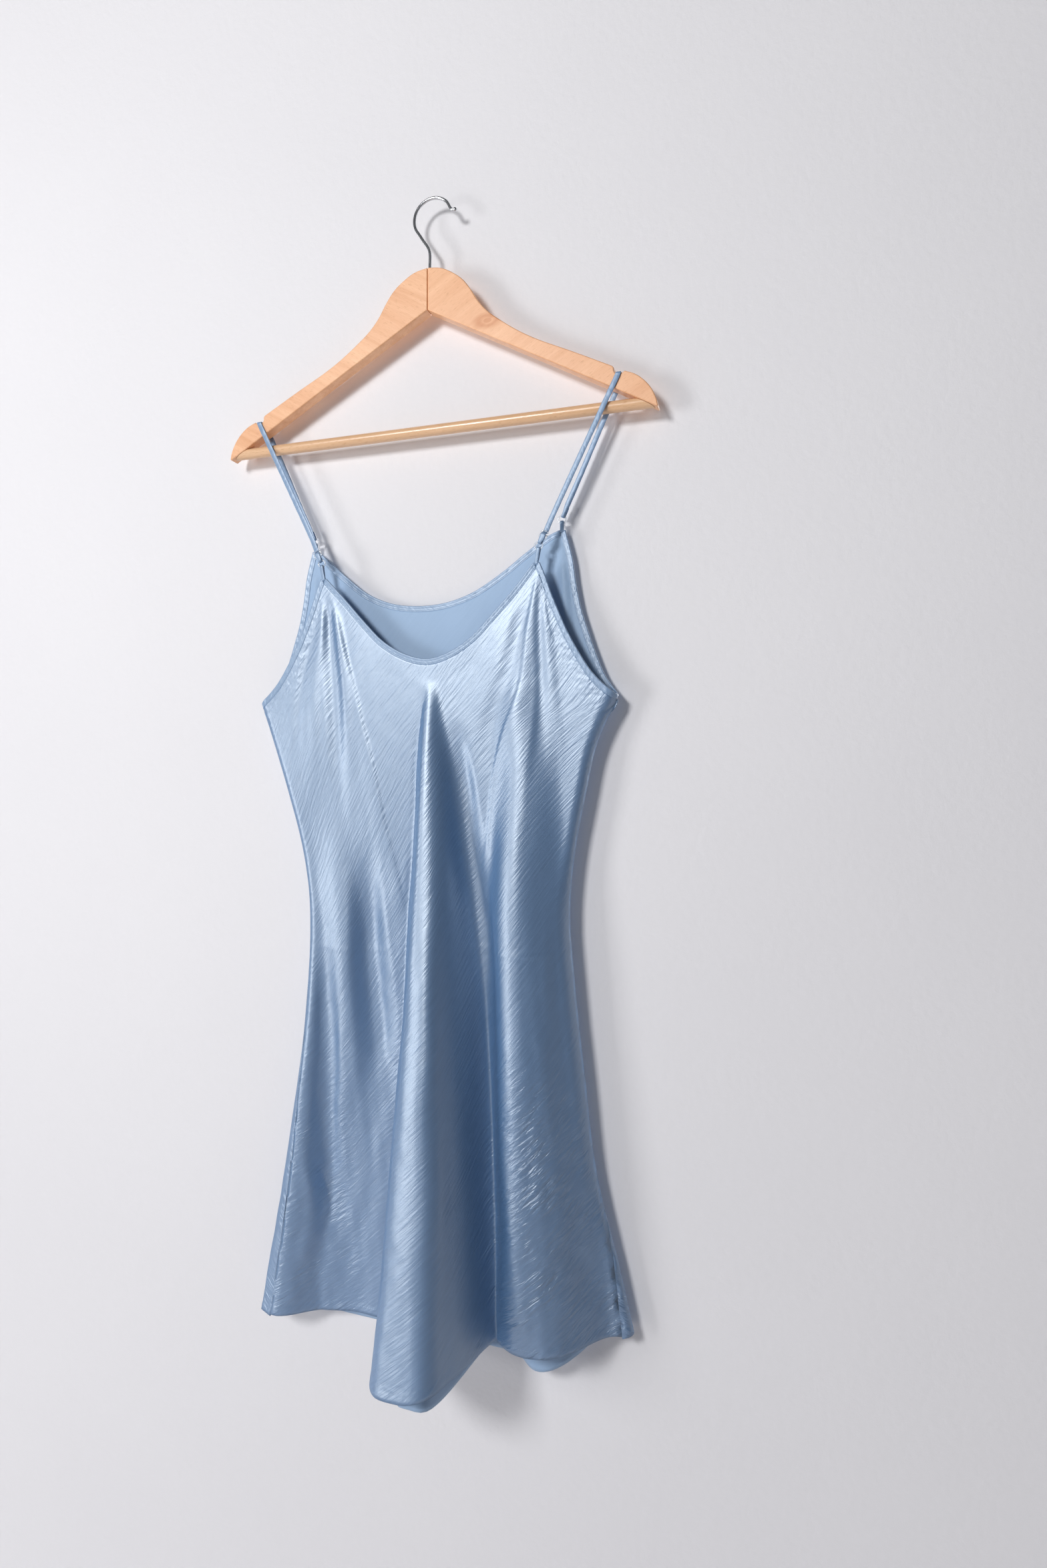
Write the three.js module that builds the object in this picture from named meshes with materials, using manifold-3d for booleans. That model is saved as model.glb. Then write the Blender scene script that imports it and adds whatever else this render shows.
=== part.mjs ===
// A bias-cut satin slip dress hanging by its shoulder straps from a notched wooden hanger.
//
// Millimetres. X runs to the right as the dress is seen from the front, Y runs away from the
// viewer and Z runs up. The origin is the point inside the hook where the hanger bears, straight
// above the stem of the hook. Left and right are the viewer's.
//
// Every height in the tables is measured from the top of the wood, and the whole group is then
// lowered by HOOK_REACH, which puts the bearing point at the origin.

import * as THREE from "three";
import { mergeVertices } from "three/addons/utils/BufferGeometryUtils.js";
import Module from "manifold-3d";

// ---- Sizes -----------------------------------------------------------------------------------

const SEAM_GAP = 0.3; // between pieces that are sewn together or rest on each other
const HOOK_REACH = 67.8; // from the bearing point down to the top of the wood

const ARM_THICKNESS = 12;
const ARM_EDGE = 0.8; // broken edge all round each arm
const HALF_SPAN = 222; // from the joint to the tip of an arm
const UNDERSIDE_TOP = -40.7; // underside of the arms at the joint
const UNDERSIDE_SLOPE = 0.546;
const NOTCH_INNER = 182;
const NOTCH_OUTER = 191.5;
const NOTCH_FLOOR = -127.3;
const BAR_RADIUS = 5.25;
const BAR_HEIGHT = -155;
const BAR_SIDES = 16;

const WIRE_RADIUS = 1.5;
const WIRE_HALF_SIDES = 5;
const WIRE_STEPS = 56;
const HOOK_RADIUS = 19.5; // of the wire's centre line
const HOOK_CENTRE = { x: 3.2, z: 50.1 };
const STEM_SOCKET = 25; // how far the stem goes into the wood
const HOOK_BALL = 2.1;

const CLOTH_WALL = 1.2;
const BINDING_WALL = 1.8;
const BINDING_WIDTH = 6;
const TIP_HALF_WIDTH = 3.4; // the flat tip where two bindings meet
const TURN_WIDTH = 9; // how far in from the side the cloth is still turning
const CROWN = 1.2; // how much further the middle of a panel stands out than its sides
const PANEL_ROWS = 22;
const ARMHOLE_STEPS = 9;
const ARMHOLE_CROWDING = 1.7; // how much closer the steps of an armhole lie towards the underarm
const NECK_STEPS = 18;
const SECTION_SAMPLES = 220;
const HEM_PASSES = 4; // rounds of finding the hem's height under a column that slants
const SECTION_LEVEL = 0.5; // sections are worked out once for each such step of height

const UNDERARM = { x: 185, z: -416 };
const FRONT_TIP = { x: 110.5, z: -293 };
const BACK_TIP = { x: 130, z: -260 };

const STRAP_WIDTH = 5;
const STRAP_PINCH = 3.4; // width where it is bunched in a ring
const STRAP_WALL = 1;
const LOOP_WIDTH = 3.4;
const LOOP_WALL = 1;
const RING_RADIUS = 3.7;
const RING_WIRE = 0.65;
const RING_SAG = RING_RADIUS - Math.sqrt(RING_RADIUS ** 2 - (STRAP_PINCH / 2) ** 2); // across a strap
const SLIDER = { width: 8.2, length: 8.1, slotWidth: 5.9, bar: 0.9, plate: 0.9 };

// ---- Tables ----------------------------------------------------------------------------------

// Side outlines of the dress. leftDepth and rightDepth are the Y of the two sides, middleDepth is
// the Y of the mid-surface away from them. leftWrap and rightWrap say how far, along the cloth,
// the back panel comes round the side onto the front before it meets the side seam.
const OUTLINE = [
  { z: -416, left: -185, right: 185, leftDepth: 0, middleDepth: 0, rightDepth: 0, leftWrap: 0, rightWrap: 0 },
  { z: -461, left: -169, right: 165, leftDepth: 0, middleDepth: 0, rightDepth: 0, leftWrap: 0, rightWrap: 0 },
  { z: -510, left: -152, right: 154, leftDepth: -1, middleDepth: 0, rightDepth: -1, leftWrap: 0, rightWrap: 0 },
  { z: -551, left: -140, right: 146, leftDepth: -1, middleDepth: 0, rightDepth: -1, leftWrap: 0, rightWrap: 0 },
  { z: -593, left: -131, right: 141, leftDepth: -2, middleDepth: 0, rightDepth: -1, leftWrap: 0, rightWrap: 0 },
  { z: -626, left: -128, right: 140, leftDepth: -3, middleDepth: 0, rightDepth: -1, leftWrap: 0, rightWrap: 0 },
  { z: -666, left: -128, right: 143, leftDepth: -4, middleDepth: 0, rightDepth: -1, leftWrap: 0, rightWrap: 0 },
  { z: -716, left: -131, right: 148, leftDepth: -5, middleDepth: 1, rightDepth: -1, leftWrap: 5, rightWrap: 0 },
  { z: -766, left: -136, right: 154, leftDepth: -6, middleDepth: 1, rightDepth: -1, leftWrap: 9, rightWrap: 0 },
  { z: -836, left: -147, right: 162, leftDepth: -7, middleDepth: 2, rightDepth: 0, leftWrap: 14, rightWrap: 0 },
  { z: -881, left: -154, right: 171, leftDepth: -8, middleDepth: 2, rightDepth: 0, leftWrap: 17, rightWrap: 0 },
  { z: -931, left: -162, right: 184, leftDepth: -10, middleDepth: 3, rightDepth: 2, leftWrap: 19, rightWrap: 7 },
  { z: -993, left: -173, right: 198, leftDepth: -12, middleDepth: 3, rightDepth: 3, leftWrap: 20, rightWrap: 14 },
  { z: -1040, left: -180, right: 207, leftDepth: -13, middleDepth: 3, rightDepth: 3, leftWrap: 20, rightWrap: 17 },
];
const SIDE_SWEEP = 70; // how far in the depth of a side is felt

// How far each panel stands off the mid-surface, by height.
const STAND_OFF = [
  { z: -260, front: 8.3, back: 8 },
  { z: -416, front: 9.5, back: 8 },
  { z: -700, front: 8, back: 8.5 },
  { z: -1040, front: 6, back: 9 },
];

// Folds stand forward, towards the viewer, and troughs have a negative depth. Each starts at
// height top and is fully grown at the hem. blunt is 1 for a soft wave, over 2 for a pipe fold.
// swell is how much wider the right side is half way down.
const FRONT_FOLDS = [
  { name: "centre", top: -398, topX: 3, hemX: 22, topLeft: 9, hemLeft: 64, topRight: 10, hemRight: 58, swell: 16, depth: 108, growth: 1.1, blunt: 2.4 },
  { name: "right", top: -400, topX: 92, hemX: 120, topLeft: 22, hemLeft: 72, topRight: 34, hemRight: 66, swell: 0, depth: 46, growth: 0.85, blunt: 1.3 },
  { name: "left", top: -636, topX: -108, hemX: -150, topLeft: 16, hemLeft: 26, topRight: 24, hemRight: 36, swell: 0, depth: 13, growth: 1.1, blunt: 1.2 },
  { name: "left trough", top: -560, topX: -58, hemX: -84, topLeft: 20, hemLeft: 32, topRight: 24, hemRight: 34, swell: 0, depth: -3.5, growth: 0.8, blunt: 1.1 },
];
const BACK_FOLDS = [
  { name: "centre", top: -536, topX: 8, hemX: 22, topLeft: 8, hemLeft: 33, topRight: 8, hemRight: 33, swell: 0, depth: 104, growth: 1.3, blunt: 2.4 },
  { name: "right", top: -556, topX: 100, hemX: 120, topLeft: 18, hemLeft: 38, topRight: 24, hemRight: 46, swell: 0, depth: 24, growth: 1.2, blunt: 1.3 },
  { name: "left", top: -636, topX: -104, hemX: -140, topLeft: 14, hemLeft: 24, topRight: 20, hemRight: 30, swell: 0, depth: 6, growth: 1, blunt: 1.1 },
];

const FRONT_HEM = [
  { x: -179, z: -1028 },
  { x: -105, z: -1023 },
  { x: -69, z: -1021 },
  { x: 22, z: -1018 },
  { x: 60, z: -1006 },
  { x: 120, z: -1001 },
  { x: 199, z: -994 },
];
const BACK_HEM = [
  { x: -179, z: -1028 },
  { x: -84, z: -1033 },
  { x: 22, z: -1035 },
  { x: 110, z: -1037 },
  { x: 146, z: -1022 },
  { x: 170, z: -1004 },
  { x: 199, z: -994 },
];

// Right half of each armhole edge, from the tip down to the underarm.
const FRONT_ARMHOLE = [
  { x: 118.5, z: -304 },
  { x: 125, z: -322 },
  { x: 132, z: -339 },
  { x: 140, z: -357 },
  { x: 151, z: -377 },
  { x: 162, z: -394 },
  { x: 173, z: -406 },
];
const BACK_ARMHOLE = [
  { x: 136.5, z: -271 },
  { x: 140.5, z: -287 },
  { x: 144, z: -311 },
  { x: 149, z: -335 },
  { x: 156, z: -357 },
  { x: 163, z: -377 },
  { x: 172, z: -398 },
];

// Neck edges from left to right between the tips.
const FRONT_NECK = [
  { x: -86, z: -315 },
  { x: -65, z: -338 },
  { x: -44, z: -358.5 },
  { x: -20, z: -372 },
  { x: 2, z: -377 },
  { x: 23, z: -372 },
  { x: 46, z: -358.5 },
  { x: 68, z: -337 },
  { x: 89, z: -315 },
];
const BACK_NECK = [
  { x: -115, z: -270 },
  { x: -96, z: -287 },
  { x: -70, z: -307 },
  { x: -44, z: -318 },
  { x: -15, z: -322 },
  { x: 12, z: -320.5 },
  { x: 40, z: -312.5 },
  { x: 71, z: -295 },
  { x: 95, z: -278 },
  { x: 117, z: -264 },
];

// Top edge of an arm, from the joint out to the notch, and round its tip.
const ARM_SHOULDER = [
  { x: 14, z: -2.6 },
  { x: 26, z: -9 },
  { x: 36, z: -17 },
  { x: 45, z: -29 },
  { x: 52, z: -40.5 },
  { x: 62, z: -52 },
  { x: 75, z: -62.5 },
  { x: 92, z: -74.5 },
  { x: 109, z: -84.5 },
  { x: 143, z: -101 },
];
const ARM_TIP = [
  { x: 200.5, z: -129.3 },
  { x: 208, z: -134.8 },
  { x: 215.5, z: -143.6 },
  { x: 220.3, z: -153.5 },
];

// Strap routes from the notch down, right side: lean turns the strap in the plane of the hanger.
const FRONT_STRAP = [
  { x: 185.5, y: -6.9, z: -130, lean: 8 },
  { x: 179.5, y: -7, z: -142, lean: 24 },
  { x: 169.5, y: -7.2, z: -162, lean: 26 },
  { x: 146, y: -7.3, z: -209, lean: 26 },
  { x: 124, y: -7.3, z: -253.5, lean: 26 },
];
const BACK_STRAP = [
  { x: 185.5, y: 6.9, z: -130, lean: 8 },
  { x: 178.5, y: 7, z: -145, lean: 23 },
  { x: 165, y: 7.1, z: -174, lean: 24 },
  { x: 145, y: 7.1, z: -218, lean: 24 },
];
const SLIDER_CENTRE = { x: 117.5, z: -268 };
const FRONT_RING = { x: 112.6, z: -277.5 };
const BACK_RING = { x: 130.2, z: -250 };

// ---- Finishes --------------------------------------------------------------------------------

const finish = (color, roughness, metalness) => new THREE.MeshStandardMaterial({ color, roughness, metalness });
const SATIN = finish(0x8fafd0, 0.38, 0);
const SATIN_BINDING = finish(0x9ab8d6, 0.42, 0);
const BEECH = finish(0xe2b084, 0.5, 0);
const BAR_WOOD = finish(0xd2a06a, 0.4, 0);
const CHROME = finish(0xb8bcc2, 0.18, 1);
const CLEAR_PLASTIC = finish(0xdfe6ea, 0.15, 0);

// ---- Small helpers ---------------------------------------------------------------------------

const vector = (x, y, z) => new THREE.Vector3(x, y, z);
const lerp = THREE.MathUtils.lerp;
const clamp = THREE.MathUtils.clamp;

// Reads a column of a table at a value of its key column, on a smooth curve through the rows.
function readTable(rows, key, column, value) {
  const sign = Math.sign(rows[rows.length - 1][key] - rows[0][key]);
  let i = 0;
  while (i < rows.length - 2 && sign * (value - rows[i + 1][key]) > 0) i += 1;
  const before = rows[Math.max(i - 1, 0)];
  const start = rows[i];
  const end = rows[i + 1];
  const after = rows[Math.min(i + 2, rows.length - 1)];
  const span = end[key] - start[key];
  const t = clamp((value - start[key]) / span, 0, 1);
  const startSlope = ((end[column] - before[column]) / (end[key] - before[key])) * span;
  const endSlope = ((after[column] - start[column]) / (after[key] - start[key])) * span;
  const t2 = t * t;
  const t3 = t2 * t;
  const fromStart = (2 * t3 - 3 * t2 + 1) * start[column] + (t3 - 2 * t2 + t) * startSlope;
  return fromStart + (3 * t2 - 2 * t3) * end[column] + (t3 - t2) * endSlope;
}

const outlineAt = (z, column) => readTable(OUTLINE, "z", column, Math.min(z, UNDERARM.z));
const standOffAt = (z, column) => readTable(STAND_OFF, "z", column, z);
const frontHemAt = (x) => readTable(FRONT_HEM, "x", "z", x);
const backHemAt = (x) => readTable(BACK_HEM, "x", "z", x);

// ---- The form of the cloth -------------------------------------------------------------------

// Depth of one fold at a place: a raised-cosine bump across, growing down to the hem.
function foldDepth(fold, x, z) {
  const grown = (fold.top - z) / (fold.top - FRONT_HEM[3].z);
  if (grown <= 0) return 0;
  const down = Math.min(grown, 1.03);
  const offset = x - lerp(fold.topX, fold.hemX, down);
  const swollen = fold.swell * 4 * down * Math.max(1 - down, 0);
  const right = lerp(fold.topRight, fold.hemRight, down) + swollen;
  const reach = offset < 0 ? lerp(fold.topLeft, fold.hemLeft, down) : right;
  const across = Math.abs(offset) / reach;
  if (across >= 1) return 0;
  const power = lerp(1, fold.blunt, down);
  return fold.depth * down ** fold.growth * 0.5 * (1 + Math.cos(Math.PI * across ** power));
}

// Y of the mid-surface between the panels: each side pulls it forward or back near itself.
function middleDepth(x, z) {
  const middle = outlineAt(z, "middleDepth");
  const left = clamp(1 - (x - outlineAt(z, "left")) / SIDE_SWEEP, 0, 1) ** 2;
  const right = clamp(1 - (outlineAt(z, "right") - x) / SIDE_SWEEP, 0, 1) ** 2;
  return middle + (outlineAt(z, "leftDepth") - middle) * left + (outlineAt(z, "rightDepth") - middle) * right;
}

// The cloth turns round the side on a quarter ellipse: 0 at the side, 1 past the turn.
function turnAt(x, z) {
  const inside = Math.min(x - outlineAt(z, "left"), outlineAt(z, "right") - x);
  const t = clamp(inside / TURN_WIDTH, 0, 1);
  return Math.sqrt(1 - (1 - t) ** 2);
}

// How wide a length of cloth looks from the front once it has been laid round the turn.
function wrapWidth(length) {
  const quarter = (TURN_WIDTH * Math.PI) / 2;
  const round = TURN_WIDTH * (1 - Math.cos(clamp(length, 0, quarter) / TURN_WIDTH));
  return round + Math.max(length - quarter, 0);
}

// Y of the front or the back panel at a place in the front view.
function panelDepth(face, x, z) {
  const sign = face === "front" ? -1 : 1;
  const folds = face === "front" ? FRONT_FOLDS : BACK_FOLDS;
  const forward = folds.reduce((sum, fold) => sum + foldDepth(fold, x, z), 0);
  const span = outlineAt(z, "right") - outlineAt(z, "left");
  const crown = CROWN * (1 - ((2 * (x - outlineAt(z, "left"))) / span - 1) ** 2);
  return middleDepth(x, z) + (sign * (standOffAt(z, face) + crown) - forward) * turnAt(x, z);
}

// The point of a panel at a place in the front view, kept within the side outlines.
function onPanel(face, x, z) {
  const within = clamp(x, outlineAt(z, "left"), outlineAt(z, "right"));
  return vector(within, panelDepth(face, within, z), z);
}

// One level section of a panel, from its left seam to its right seam, with the running length.
function panelSection(face, z) {
  const left = outlineAt(z, "left");
  const right = outlineAt(z, "right");
  const places = [];
  const run = (side, from, to, steps) => {
    for (let i = 0; i <= steps; i += 1) {
      // Places crowd towards both ends, where the cloth turns fastest.
      const t = 0.5 - 0.5 * Math.cos((Math.PI * i) / steps);
      places.push(onPanel(side, lerp(from, to, t), z));
    }
  };
  const wrapLeft = wrapWidth(outlineAt(z, "leftWrap"));
  const wrapRight = wrapWidth(outlineAt(z, "rightWrap"));
  if (face === "front") {
    run("front", left + wrapLeft, right - wrapRight, SECTION_SAMPLES);
  } else {
    if (wrapLeft > 0) run("front", left + wrapLeft, left, 16);
    run("back", left, right, SECTION_SAMPLES);
    if (wrapRight > 0) run("front", right, right - wrapRight, 16);
  }
  const lengths = [0];
  for (let i = 1; i < places.length; i += 1) {
    lengths.push(lengths[i - 1] + places[i].distanceTo(places[i - 1]));
  }
  return { places, lengths };
}

// The place at a fraction of a section, kept half a seam gap clear of both of its ends.
function placeInSection(section, fraction) {
  const total = section.lengths[section.lengths.length - 1];
  const trim = SEAM_GAP / 2;
  const target = trim + fraction * (total - 2 * trim);
  let i = 1;
  while (i < section.lengths.length - 1 && section.lengths[i] < target) i += 1;
  const t = (target - section.lengths[i - 1]) / (section.lengths[i] - section.lengths[i - 1] || 1);
  return section.places[i - 1].clone().lerp(section.places[i], clamp(t, 0, 1));
}

// The fraction of a section at which it passes a given x on its way from left to right.
function fractionAtX(section, x) {
  const total = section.lengths[section.lengths.length - 1];
  let i = 1;
  while (i < section.places.length - 1 && section.places[i].x < x) i += 1;
  const before = section.places[i - 1];
  const t = clamp((x - before.x) / (section.places[i].x - before.x || 1), 0, 1);
  return clamp(lerp(section.lengths[i - 1], section.lengths[i], t) / total, 0, 1);
}

// ---- Edges of the panels ---------------------------------------------------------------------

const edgeCurve = (points) =>
  new THREE.CatmullRomCurve3(points.map((point) => vector(point.x, 0, point.z)), false, "centripetal");
const mirrored = (points) => points.map((point) => ({ ...point, x: -point.x })).reverse();

// The three stretches of a panel's top edge, all run from left to right.
function topEdges(tip, armhole, neck) {
  const shoulder = { x: tip.x + TIP_HALF_WIDTH, z: tip.z };
  const right = [shoulder, ...armhole, UNDERARM];
  const neckStart = { x: -tip.x + TIP_HALF_WIDTH, z: tip.z };
  const neckEnd = { x: tip.x - TIP_HALF_WIDTH, z: tip.z };
  return {
    tip,
    left: edgeCurve(mirrored(right)),
    neck: edgeCurve([neckStart, ...neck, neckEnd]),
    right: edgeCurve(right),
  };
}

// A point a given width inside an edge. At the underarm the width is measured straight down.
function insetPoint(curve, t, width) {
  const point = curve.getPointAt(t);
  const tangent = curve.getTangentAt(t);
  const inward = vector(tangent.z, 0, -tangent.x);
  const fromUnderarm = Math.hypot(UNDERARM.x - Math.abs(point.x), UNDERARM.z - point.z);
  const blend = clamp(fromUnderarm / 14, 0, 1);
  inward.multiplyScalar(blend).add(vector(0, 0, blend - 1)).normalize();
  return point.addScaledVector(inward, width);
}

// Where the inset lines of two neighbouring edges cross, as a parameter on each.
function insetCorner(first, second, width) {
  const steps = 160;
  const line = (curve) => Array.from({ length: steps + 1 }, (_, i) => insetPoint(curve, i / steps, width));
  const a = line(first);
  const b = line(second);
  for (let i = 0; i < steps; i += 1) {
    for (let j = 0; j < steps; j += 1) {
      const across = a[i + 1].x - a[i].x;
      const up = a[i + 1].z - a[i].z;
      const otherAcross = b[j + 1].x - b[j].x;
      const otherUp = b[j + 1].z - b[j].z;
      const cross = across * otherUp - up * otherAcross;
      const dx = b[j].x - a[i].x;
      const dz = b[j].z - a[i].z;
      const s = (dx * otherUp - dz * otherAcross) / cross;
      const t = (dx * up - dz * across) / cross;
      if (s >= 0 && s <= 1 && t >= 0 && t <= 1) return [(i + s) / steps, (j + t) / steps];
    }
  }
  throw new Error("the bindings do not meet at a tip");
}

// Where the stations lie along each stretch: evenly on the neck, closer towards the underarms.
const evenShares = (steps) => Array.from({ length: steps + 1 }, (_, i) => i / steps);
const SHARES = {
  left: evenShares(ARMHOLE_STEPS).map((share) => share ** ARMHOLE_CROWDING),
  neck: evenShares(NECK_STEPS),
  right: evenShares(ARMHOLE_STEPS).map((share) => 1 - (1 - share) ** ARMHOLE_CROWDING),
};

// The line a given width inside the edges, as stations from underarm to underarm.
function insetEdge(edges, width) {
  const [leftEnd, neckStart] = insetCorner(edges.left, edges.neck, width);
  const [neckEnd, rightStart] = insetCorner(edges.neck, edges.right, width);
  const stretch = (part, from, to) =>
    SHARES[part].map((share) => insetPoint(edges[part], lerp(from, to, share), width));
  return {
    left: stretch("left", 0, leftEnd),
    neck: stretch("neck", neckStart, neckEnd),
    right: stretch("right", rightStart, 1),
  };
}

// ---- Solids ----------------------------------------------------------------------------------

// The direction of a line of points at one of them, bent to the curve also at its ends.
function tangentAt(pointAt, count, i) {
  const last = count - 1;
  if (last < 2) return pointAt(last).clone().sub(pointAt(0));
  if (i > 0 && i < last) return pointAt(i + 1).clone().sub(pointAt(i - 1));
  const inward = i === 0 ? 1 : -1;
  const next = pointAt(i + inward).clone().sub(pointAt(i));
  const further = pointAt(i + 2 * inward).clone().sub(pointAt(i));
  return next.multiplyScalar(4).sub(further).multiplyScalar(inward);
}

// A closed wall of even thickness on a grid of points, grid[row][column]. acrossAt gives the
// direction of a row at a point where that is known better than from the points themselves.
function wallFromGrid(grid, thickness, acrossAt) {
  const rows = grid.length;
  const columns = grid[0].length;
  const positions = [];
  for (const side of [0.5, -0.5]) {
    for (let j = 0; j < rows; j += 1) {
      for (let i = 0; i < columns; i += 1) {
        const across = acrossAt ? acrossAt(j, i) : tangentAt((k) => grid[j][k], columns, i);
        const up = tangentAt((k) => grid[k][i], rows, j);
        const normal = across.cross(up).normalize();
        const point = grid[j][i].clone().addScaledVector(normal, side * thickness);
        positions.push(point.x, point.y, point.z);
      }
    }
  }
  const outer = (j, i) => j * columns + i;
  const inner = (j, i) => (rows + j) * columns + i;
  const corner = (k) => vector(positions[3 * k], positions[3 * k + 1], positions[3 * k + 2]);
  const triangles = [];
  // Each quad is split along its shorter diagonal.
  const quad = (a, b, c, d) => {
    const along = corner(a).distanceTo(corner(c)) <= corner(b).distanceTo(corner(d));
    triangles.push(...(along ? [a, b, c, a, c, d] : [a, b, d, b, c, d]));
  };
  for (let j = 0; j < rows - 1; j += 1) {
    for (let i = 0; i < columns - 1; i += 1) {
      quad(outer(j, i), outer(j, i + 1), outer(j + 1, i + 1), outer(j + 1, i));
      quad(inner(j, i), inner(j + 1, i), inner(j + 1, i + 1), inner(j, i + 1));
    }
    quad(outer(j, 0), outer(j + 1, 0), inner(j + 1, 0), inner(j, 0));
    const last = columns - 1;
    quad(outer(j, last), inner(j, last), inner(j + 1, last), outer(j + 1, last));
  }
  for (let i = 0; i < columns - 1; i += 1) {
    const last = rows - 1;
    quad(outer(0, i), inner(0, i), inner(0, i + 1), outer(0, i + 1));
    quad(outer(last, i), outer(last, i + 1), inner(last, i + 1), inner(last, i));
  }
  const geometry = new THREE.BufferGeometry();
  geometry.setAttribute("position", new THREE.Float32BufferAttribute(positions, 3));
  geometry.setIndex(triangles);
  geometry.computeVertexNormals();
  return geometry;
}

// A flat outline in X and Z, extruded along Y about the middle of the hanger.
function plateAcross(shape, thickness, edge = 0) {
  const geometry = new THREE.ExtrudeGeometry(shape, {
    depth: thickness - 2 * edge,
    curveSegments: 5,
    bevelEnabled: edge > 0,
    bevelThickness: edge,
    bevelSize: edge,
    bevelOffset: -edge,
    bevelSegments: 2,
  });
  geometry.rotateX(Math.PI / 2);
  geometry.translate(0, thickness / 2 - edge, 0);
  return geometry;
}

const wasm = await Module();
wasm.setup();

function toSolid(geometry) {
  const bare = geometry.index ? geometry.toNonIndexed() : geometry.clone();
  bare.deleteAttribute("normal");
  bare.deleteAttribute("uv");
  const merged = mergeVertices(bare, 1e-4);
  const vertProperties = new Float32Array(merged.attributes.position.array);
  const triVerts = new Uint32Array(merged.index.array);
  return new wasm.Manifold(new wasm.Mesh({ numProp: 3, vertProperties, triVerts }));
}

function fromSolid(solid) {
  const mesh = solid.getMesh();
  const geometry = new THREE.BufferGeometry();
  geometry.setAttribute("position", new THREE.Float32BufferAttribute(mesh.vertProperties, 3));
  geometry.setIndex(Array.from(mesh.triVerts));
  geometry.computeVertexNormals();
  return geometry;
}

const piece = (name, geometry, material) => {
  const mesh = new THREE.Mesh(geometry, material);
  mesh.name = name;
  return mesh;
};

// ---- Hanger ----------------------------------------------------------------------------------

function buildArm(side) {
  const start = SEAM_GAP / 2;
  const flat = (point) => new THREE.Vector2(side * point.x, point.z);
  const shape = new THREE.Shape();
  shape.moveTo(side * start, 0);
  shape.splineThru([...ARM_SHOULDER, { x: NOTCH_INNER - 1.5, z: -119.8 }].map(flat));
  shape.lineTo(side * NOTCH_INNER, -121.4);
  shape.lineTo(side * (NOTCH_INNER + 0.4), NOTCH_FLOOR);
  shape.lineTo(side * (NOTCH_OUTER - 1), NOTCH_FLOOR);
  shape.lineTo(side * NOTCH_OUTER, -125.6);
  shape.splineThru([...ARM_TIP, { x: HALF_SPAN, z: -160.2 }].map(flat));
  const heel = HALF_SPAN - 1.2;
  shape.lineTo(side * heel, UNDERSIDE_TOP - UNDERSIDE_SLOPE * heel);
  shape.lineTo(side * start, UNDERSIDE_TOP - UNDERSIDE_SLOPE * start);
  const arm = toSolid(plateAcross(shape, ARM_THICKNESS, ARM_EDGE));
  // Each arm holds half of the blind hole for the stem.
  const socket = new THREE.CylinderGeometry(WIRE_RADIUS + SEAM_GAP, WIRE_RADIUS + SEAM_GAP, STEM_SOCKET + 2, 16);
  socket.rotateX(Math.PI / 2);
  socket.translate(0, 0, 2 - (STEM_SOCKET + 2) / 2);
  return fromSolid(arm.subtract(toSolid(socket)));
}

// The round bar, its ends cut to the slope of the arms' underside.
function buildBar() {
  const geometry = new THREE.CylinderGeometry(BAR_RADIUS, BAR_RADIUS, 2, BAR_SIDES);
  geometry.rotateZ(Math.PI / 2);
  const position = geometry.attributes.position;
  const drop = UNDERSIDE_TOP - SEAM_GAP * Math.hypot(1, UNDERSIDE_SLOPE);
  for (let i = 0; i < position.count; i += 1) {
    const z = position.getZ(i) + BAR_HEIGHT;
    position.setXYZ(i, Math.sign(position.getX(i)) * ((drop - z) / UNDERSIDE_SLOPE), position.getY(i), z);
  }
  return fromSolid(toSolid(geometry));
}

function buildHook() {
  const onCircle = (degrees) => {
    const angle = THREE.MathUtils.degToRad(degrees);
    const x = HOOK_CENTRE.x + HOOK_RADIUS * Math.cos(angle);
    return vector(x, 0, HOOK_CENTRE.z + HOOK_RADIUS * Math.sin(angle));
  };
  const points = [vector(0, 0, -STEM_SOCKET + 1), vector(0, 0, 2), vector(0, 0, 17), vector(-1.8, 0, 22.5), vector(-6.4, 0, 29.4)];
  for (let degrees = 222; degrees > 24; degrees -= 18) points.push(onCircle(degrees));
  points.push(vector(21.6, 0, 56.4), vector(23.4, 0, 54.6), vector(25.8, 0, 54.3));
  const circle = new THREE.Shape();
  circle.absarc(0, 0, WIRE_RADIUS, 0, 2 * Math.PI, false);
  const wire = new THREE.ExtrudeGeometry(circle, {
    steps: WIRE_STEPS,
    curveSegments: WIRE_HALF_SIDES,
    bevelEnabled: false,
    extrudePath: new THREE.CatmullRomCurve3(points, false, "centripetal"),
  });
  const ball = new THREE.SphereGeometry(HOOK_BALL, 12, 8);
  ball.translate(26, 0, 54.3);
  return fromSolid(toSolid(wire).add(toSolid(ball)));
}

// ---- Dress -----------------------------------------------------------------------------------

const EDGES = {
  front: topEdges(FRONT_TIP, FRONT_ARMHOLE, FRONT_NECK),
  back: topEdges(BACK_TIP, BACK_ARMHOLE, BACK_NECK),
};
const HEM_AT = { front: frontHemAt, back: backHemAt };

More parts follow.
